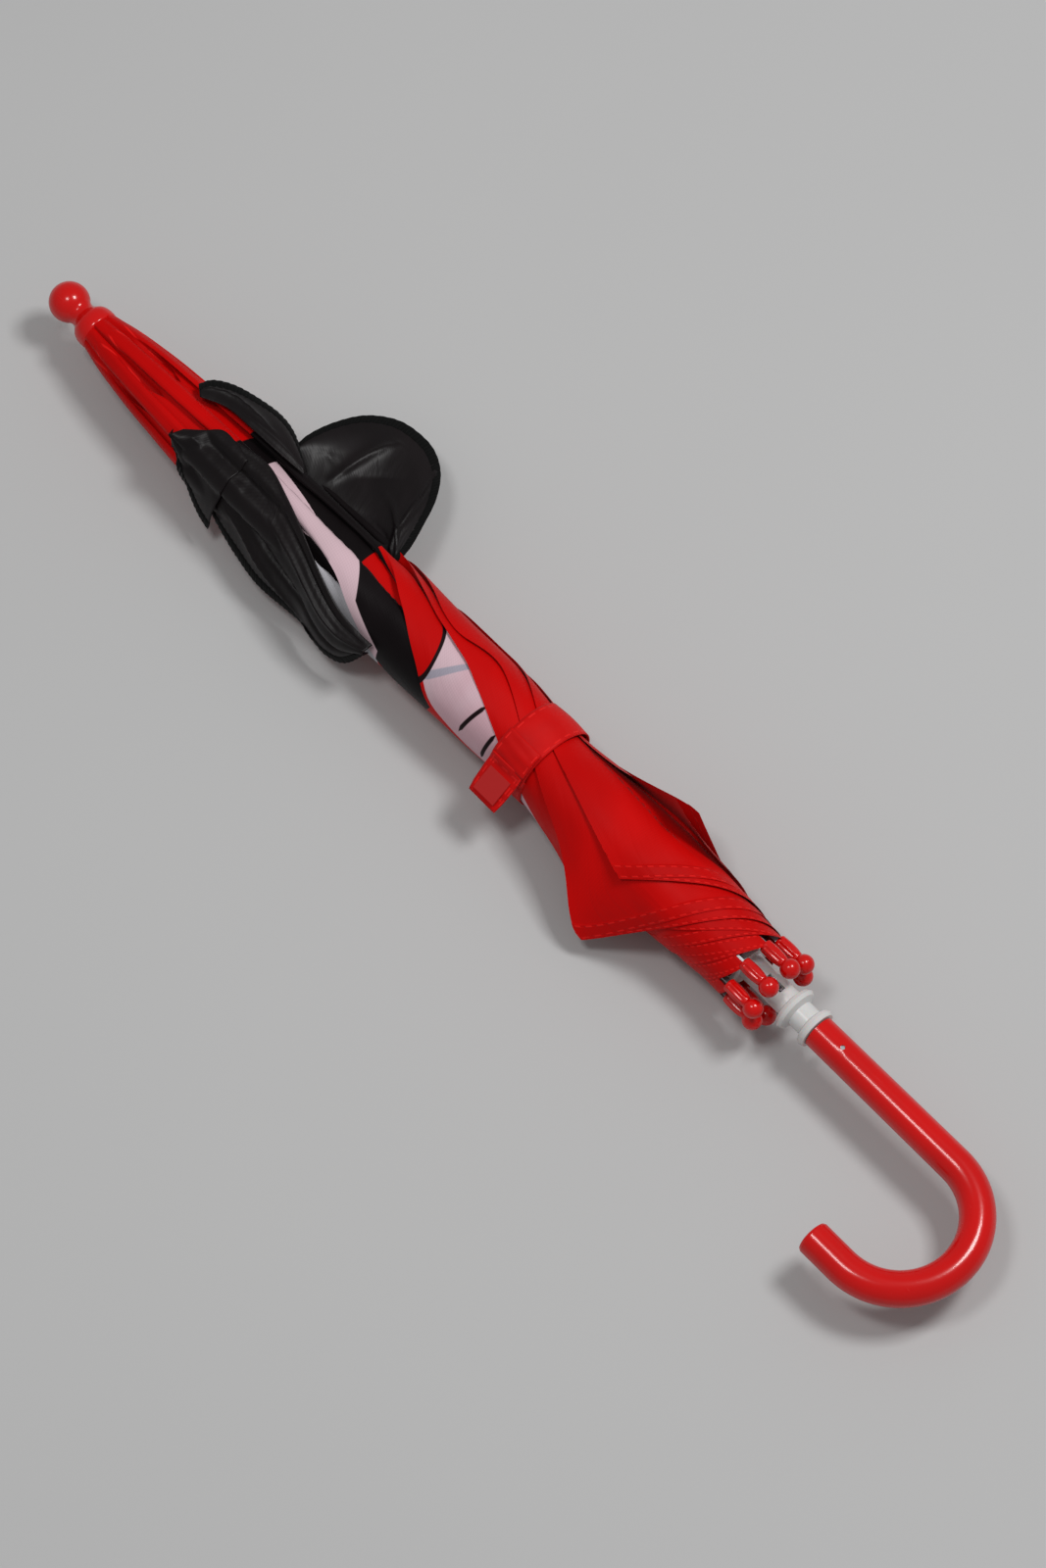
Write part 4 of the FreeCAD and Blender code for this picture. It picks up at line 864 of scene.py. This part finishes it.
# the last lap lies on the ring up to the fastener's root, and the free end goes on from there
lap_turn = np.radians(np.arange(104, 139, 2.0))
lap_r = strap_radius(np.degrees(lap_turn)) + 3.2
strap_lap, _ = band("closure_strap_lap", round_path(lap_turn, lap_r), STRAP_LOW + 0.2,
                    STRAP_HIGH - 0.3, band_material, waves=0.1)
tab_turn = np.radians(np.arange(136, 147, 2.0))
tab_r = strap_radius(np.degrees(tab_turn)) + 3.3
tab_path = list(round_path(tab_turn, tab_r))
DROOP = 38 * DEG        # the free end hangs this far below level
droop = np.array([-math.cos(DROOP), -math.sin(DROOP)])
tab_path += [tab_path[-1] + droop * d for d in np.arange(1.2, 17.5, 1.2)]
strap_tab, tab_length = band("strap_tab_cloth", tab_path, STRAP_LOW + 0.4, STRAP_HIGH - 0.6, tab_material,
                             taper=(1.5, -1.0), waves=0.12)
for piece, body in ((strap_ring, "gore_panel_2"), (strap_lap, "gore_panel_2"), (strap_tab, "strap_end")):
    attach(piece, body)
    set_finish(piece, "red_cloth")
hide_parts("closure_strap")
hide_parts("strap_tab")

# ---------------------------------------------------------------- cloth pieces given meshes of their own
def flatten(pieces, azimuth, inner):
    """Gives each piece its own copy of its mesh. The point inner millimetres out at this azimuth is worked
    out, but nothing uses it.
    """
    outward = np.array([0.0, math.cos(azimuth * DEG), math.sin(azimuth * DEG)])
    anchor = spot(150.0, inner * outward[1], inner * outward[2])
    anchor = tuple(float(c) for c in anchor)
    for piece in pieces:
        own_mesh(piece)


flatten([strap_ring, strap_lap, strap_tab], 112.5, 16.0)
flatten([turnback, turn_tape], 22.5, 12.0)
flatten([small_lobe, small_tape, big_lobe, big_tape], 202.5, 14.0)

# ---------------------------------------------------------------- turned plastic pieces


def lathe(name, profile, material, segments, origin=(0, 0, 0), direction=(1, 0, 0), flutes=None):
    """A turned piece: profile of (distance along, radius) in millimetres about a line. flutes is where they
    start and end, how many and their depth as a share of the radius."""
    t = np.radians(np.arange(segments) * 360 / segments)
    origin, d = np.array(origin, float), np.array(direction, float)
    side = np.cross(d, (0, 0.3, 1.0))
    side /= np.linalg.norm(side)
    other = np.cross(d, side)
    r = np.repeat(profile[:, 1:2], segments, 1)
    if flutes:
        low, high, count, depth = flutes
        where = ease((profile[:, 0] - low) / 1.5) * ease((high - profile[:, 0]) / 1.5)
        r = r * (1 - depth * where[:, None] * (0.5 + 0.5 * np.cos(count * t))[None, :])
    p = (origin + profile[:, 0, None, None] * d + r[..., None] * (np.cos(t)[None, :, None] * side
                                                                 + np.sin(t)[None, :, None] * other))
    return grid_object(name, spot(p[..., 0], p[..., 1], p[..., 2]), material, None, wrap=True)


def arc(centre, radius, start, stop, count):
    """Part of a ball's profile, from start to stop in degrees round its centre on the axis."""
    t = np.radians(np.linspace(start, stop, count))
    return [(centre - radius * math.cos(a), radius * math.sin(a)) for a in t]


BALL_RADIUS = 9.2
finial_profile = arc(BALL_RADIUS, BALL_RADIUS, 1, 133, 40)
finial_profile += [(16.6, 6.15), (17.8, 5.95), (19.0, 6.1), (20.2, 6.7), (21.4, 7.7)]
finial_profile += [(22.6, 8.75), (24.0, 9.4), (25.6, 9.75), (27.6, 9.85), (28.9, 9.75), (29.7, 9.45),
                   (30.0, 9.0), (29.8, 8.7), (28.0, 8.3)]
finial = lathe("finial_turned", spline(finial_profile, 110), red_plastic, 96)
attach(finial, "shaft")
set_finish(finial, "red_plastic")
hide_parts("finial_ball", "crown_cap")
TIP_CENTRE, TIP_RADIUS = 422.0, 4.35    # a rib tip's ball, from the rib's pivot
tip_profile = ([(407.0, 2.2), (407.3, 2.9), (408.4, 3.15), (412.5, 3.3), (416.2, 3.0), (418.0, 2.6)]
               + arc(TIP_CENTRE, TIP_RADIUS, 35, 178, 22))
for k in range(1, GORES + 1):
    az, tilt = (FIRST_SEAM + STEP * (k - 1)) * DEG, RIB_TILT * DEG
    direction = (math.cos(tilt), math.sin(tilt) * math.cos(az), math.sin(tilt) * math.sin(az))
    pivot = (NOTCH, PIVOT_RADIUS * math.cos(az), PIVOT_RADIUS * math.sin(az))
    tip_piece = lathe(f"rib_tip_{k}_turned", spline(tip_profile, 60), red_plastic, 48, pivot, direction,
                      flutes=(407.6, 418.0, 8, 0.13))
    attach(tip_piece, f"rib_arm_{k}")
    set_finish(tip_piece, "red_plastic")
    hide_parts(f"rib_tip_{k}")

# ---------------------------------------------------------------- CAD nodes that stay, in better materials
FINISH = {"red_plastic": red_plastic, "white_plastic": white_plastic, "rib_steel": rib_metal,
          "rivet_steel": rivet_metal, "spring_steel": spring_metal, "plated_tube": plated,
          "red_cloth": red_cloth, "black_satin": black_satin, "hook_and_loop": hook_loop}
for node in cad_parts.values():
    slot_name = node.get("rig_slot") or (node.material_slots[0].name if node.material_slots else "")
    found = next((m for key, m in FINISH.items() if key in str(slot_name)), red_plastic)
    for s in node.material_slots:
        s.material = found

# ---------------------------------------------------------------- floor, light and camera
pale_floor = Nodes("pale_floor")
floor_place = pale_floor.add("ShaderNodeTexCoord", out=3)
floor_material = pale_floor.set(Base_Color=pale_floor.mix(pale_floor.noise(floor_place, 3.0),
                                                          (0.47, 0.47, 0.47, 1), (0.49, 0.49, 0.49, 1)),
                                Roughness=0.9)
FLOOR_HALF, FLOOR_Z = 6.0, -0.0004      # just under the object
floor = mesh_object("studio_floor", [(x * FLOOR_HALF, y * FLOOR_HALF, FLOOR_Z)
                                     for x, y in ((-1, -1), (1, -1), (1, 1), (-1, 1))],
                    [(0, 1, 2, 3)], floor_material, smooth=False)

# the photo's camera, fitted to it
ELEVATION, AZIMUTH, DISTANCE, LENS = 64.43, 47.3, 2.571, 140.6
back = Vector((math.sin(AZIMUTH * DEG) * math.cos(ELEVATION * DEG),
               -math.cos(AZIMUTH * DEG) * math.cos(ELEVATION * DEG), math.sin(ELEVATION * DEG)))
target = Vector((0.0144, -0.0076, 0.024))
camera_data = bpy.data.cameras.new("photo_view")
camera_data.lens, camera_data.sensor_width = LENS, 36.0
camera_data.clip_start, camera_data.clip_end = 0.05, 30
camera = bpy.data.objects.new("photo_view", camera_data)
camera.location = target + back * DISTANCE
camera.rotation_mode = "QUATERNION"
camera.rotation_quaternion = (-back).to_track_quat("-Z", "Y")
bpy.context.collection.objects.link(camera)
bpy.context.scene.camera = camera
bpy.context.scene.view_settings.view_transform = "Standard"
right = camera.rotation_quaternion @ Vector((1, 0, 0))
up = camera.rotation_quaternion @ Vector((0, 1, 0))


def lamp(name, across, over, toward, side, power):
    """A square soft box, placed in the camera's own directions from the middle of the object."""
    data = bpy.data.lights.new(name, "AREA")
    data.shape, data.size, data.size_y = "RECTANGLE", side, side
    data.energy = power
    made = bpy.data.objects.new(name, data)
    made.location = target + right * across + up * over + back * toward
    made.rotation_mode = "QUATERNION"
    made.rotation_quaternion = (target - made.location).to_track_quat("-Z", "Y")
    bpy.context.collection.objects.link(made)


lamp("key_box", 0.9, 1.0, 1.6, 0.5, 22)
lamp("second_box", -0.5, 0.7, 1.9, 0.4, 10)
world = bpy.data.worlds.new("studio")
bpy.context.scene.world = world
world.use_nodes = True
world.node_tree.nodes["Background"].inputs[0].default_value = (1, 1, 1, 1)
world.node_tree.nodes["Background"].inputs[1].default_value = 0.30
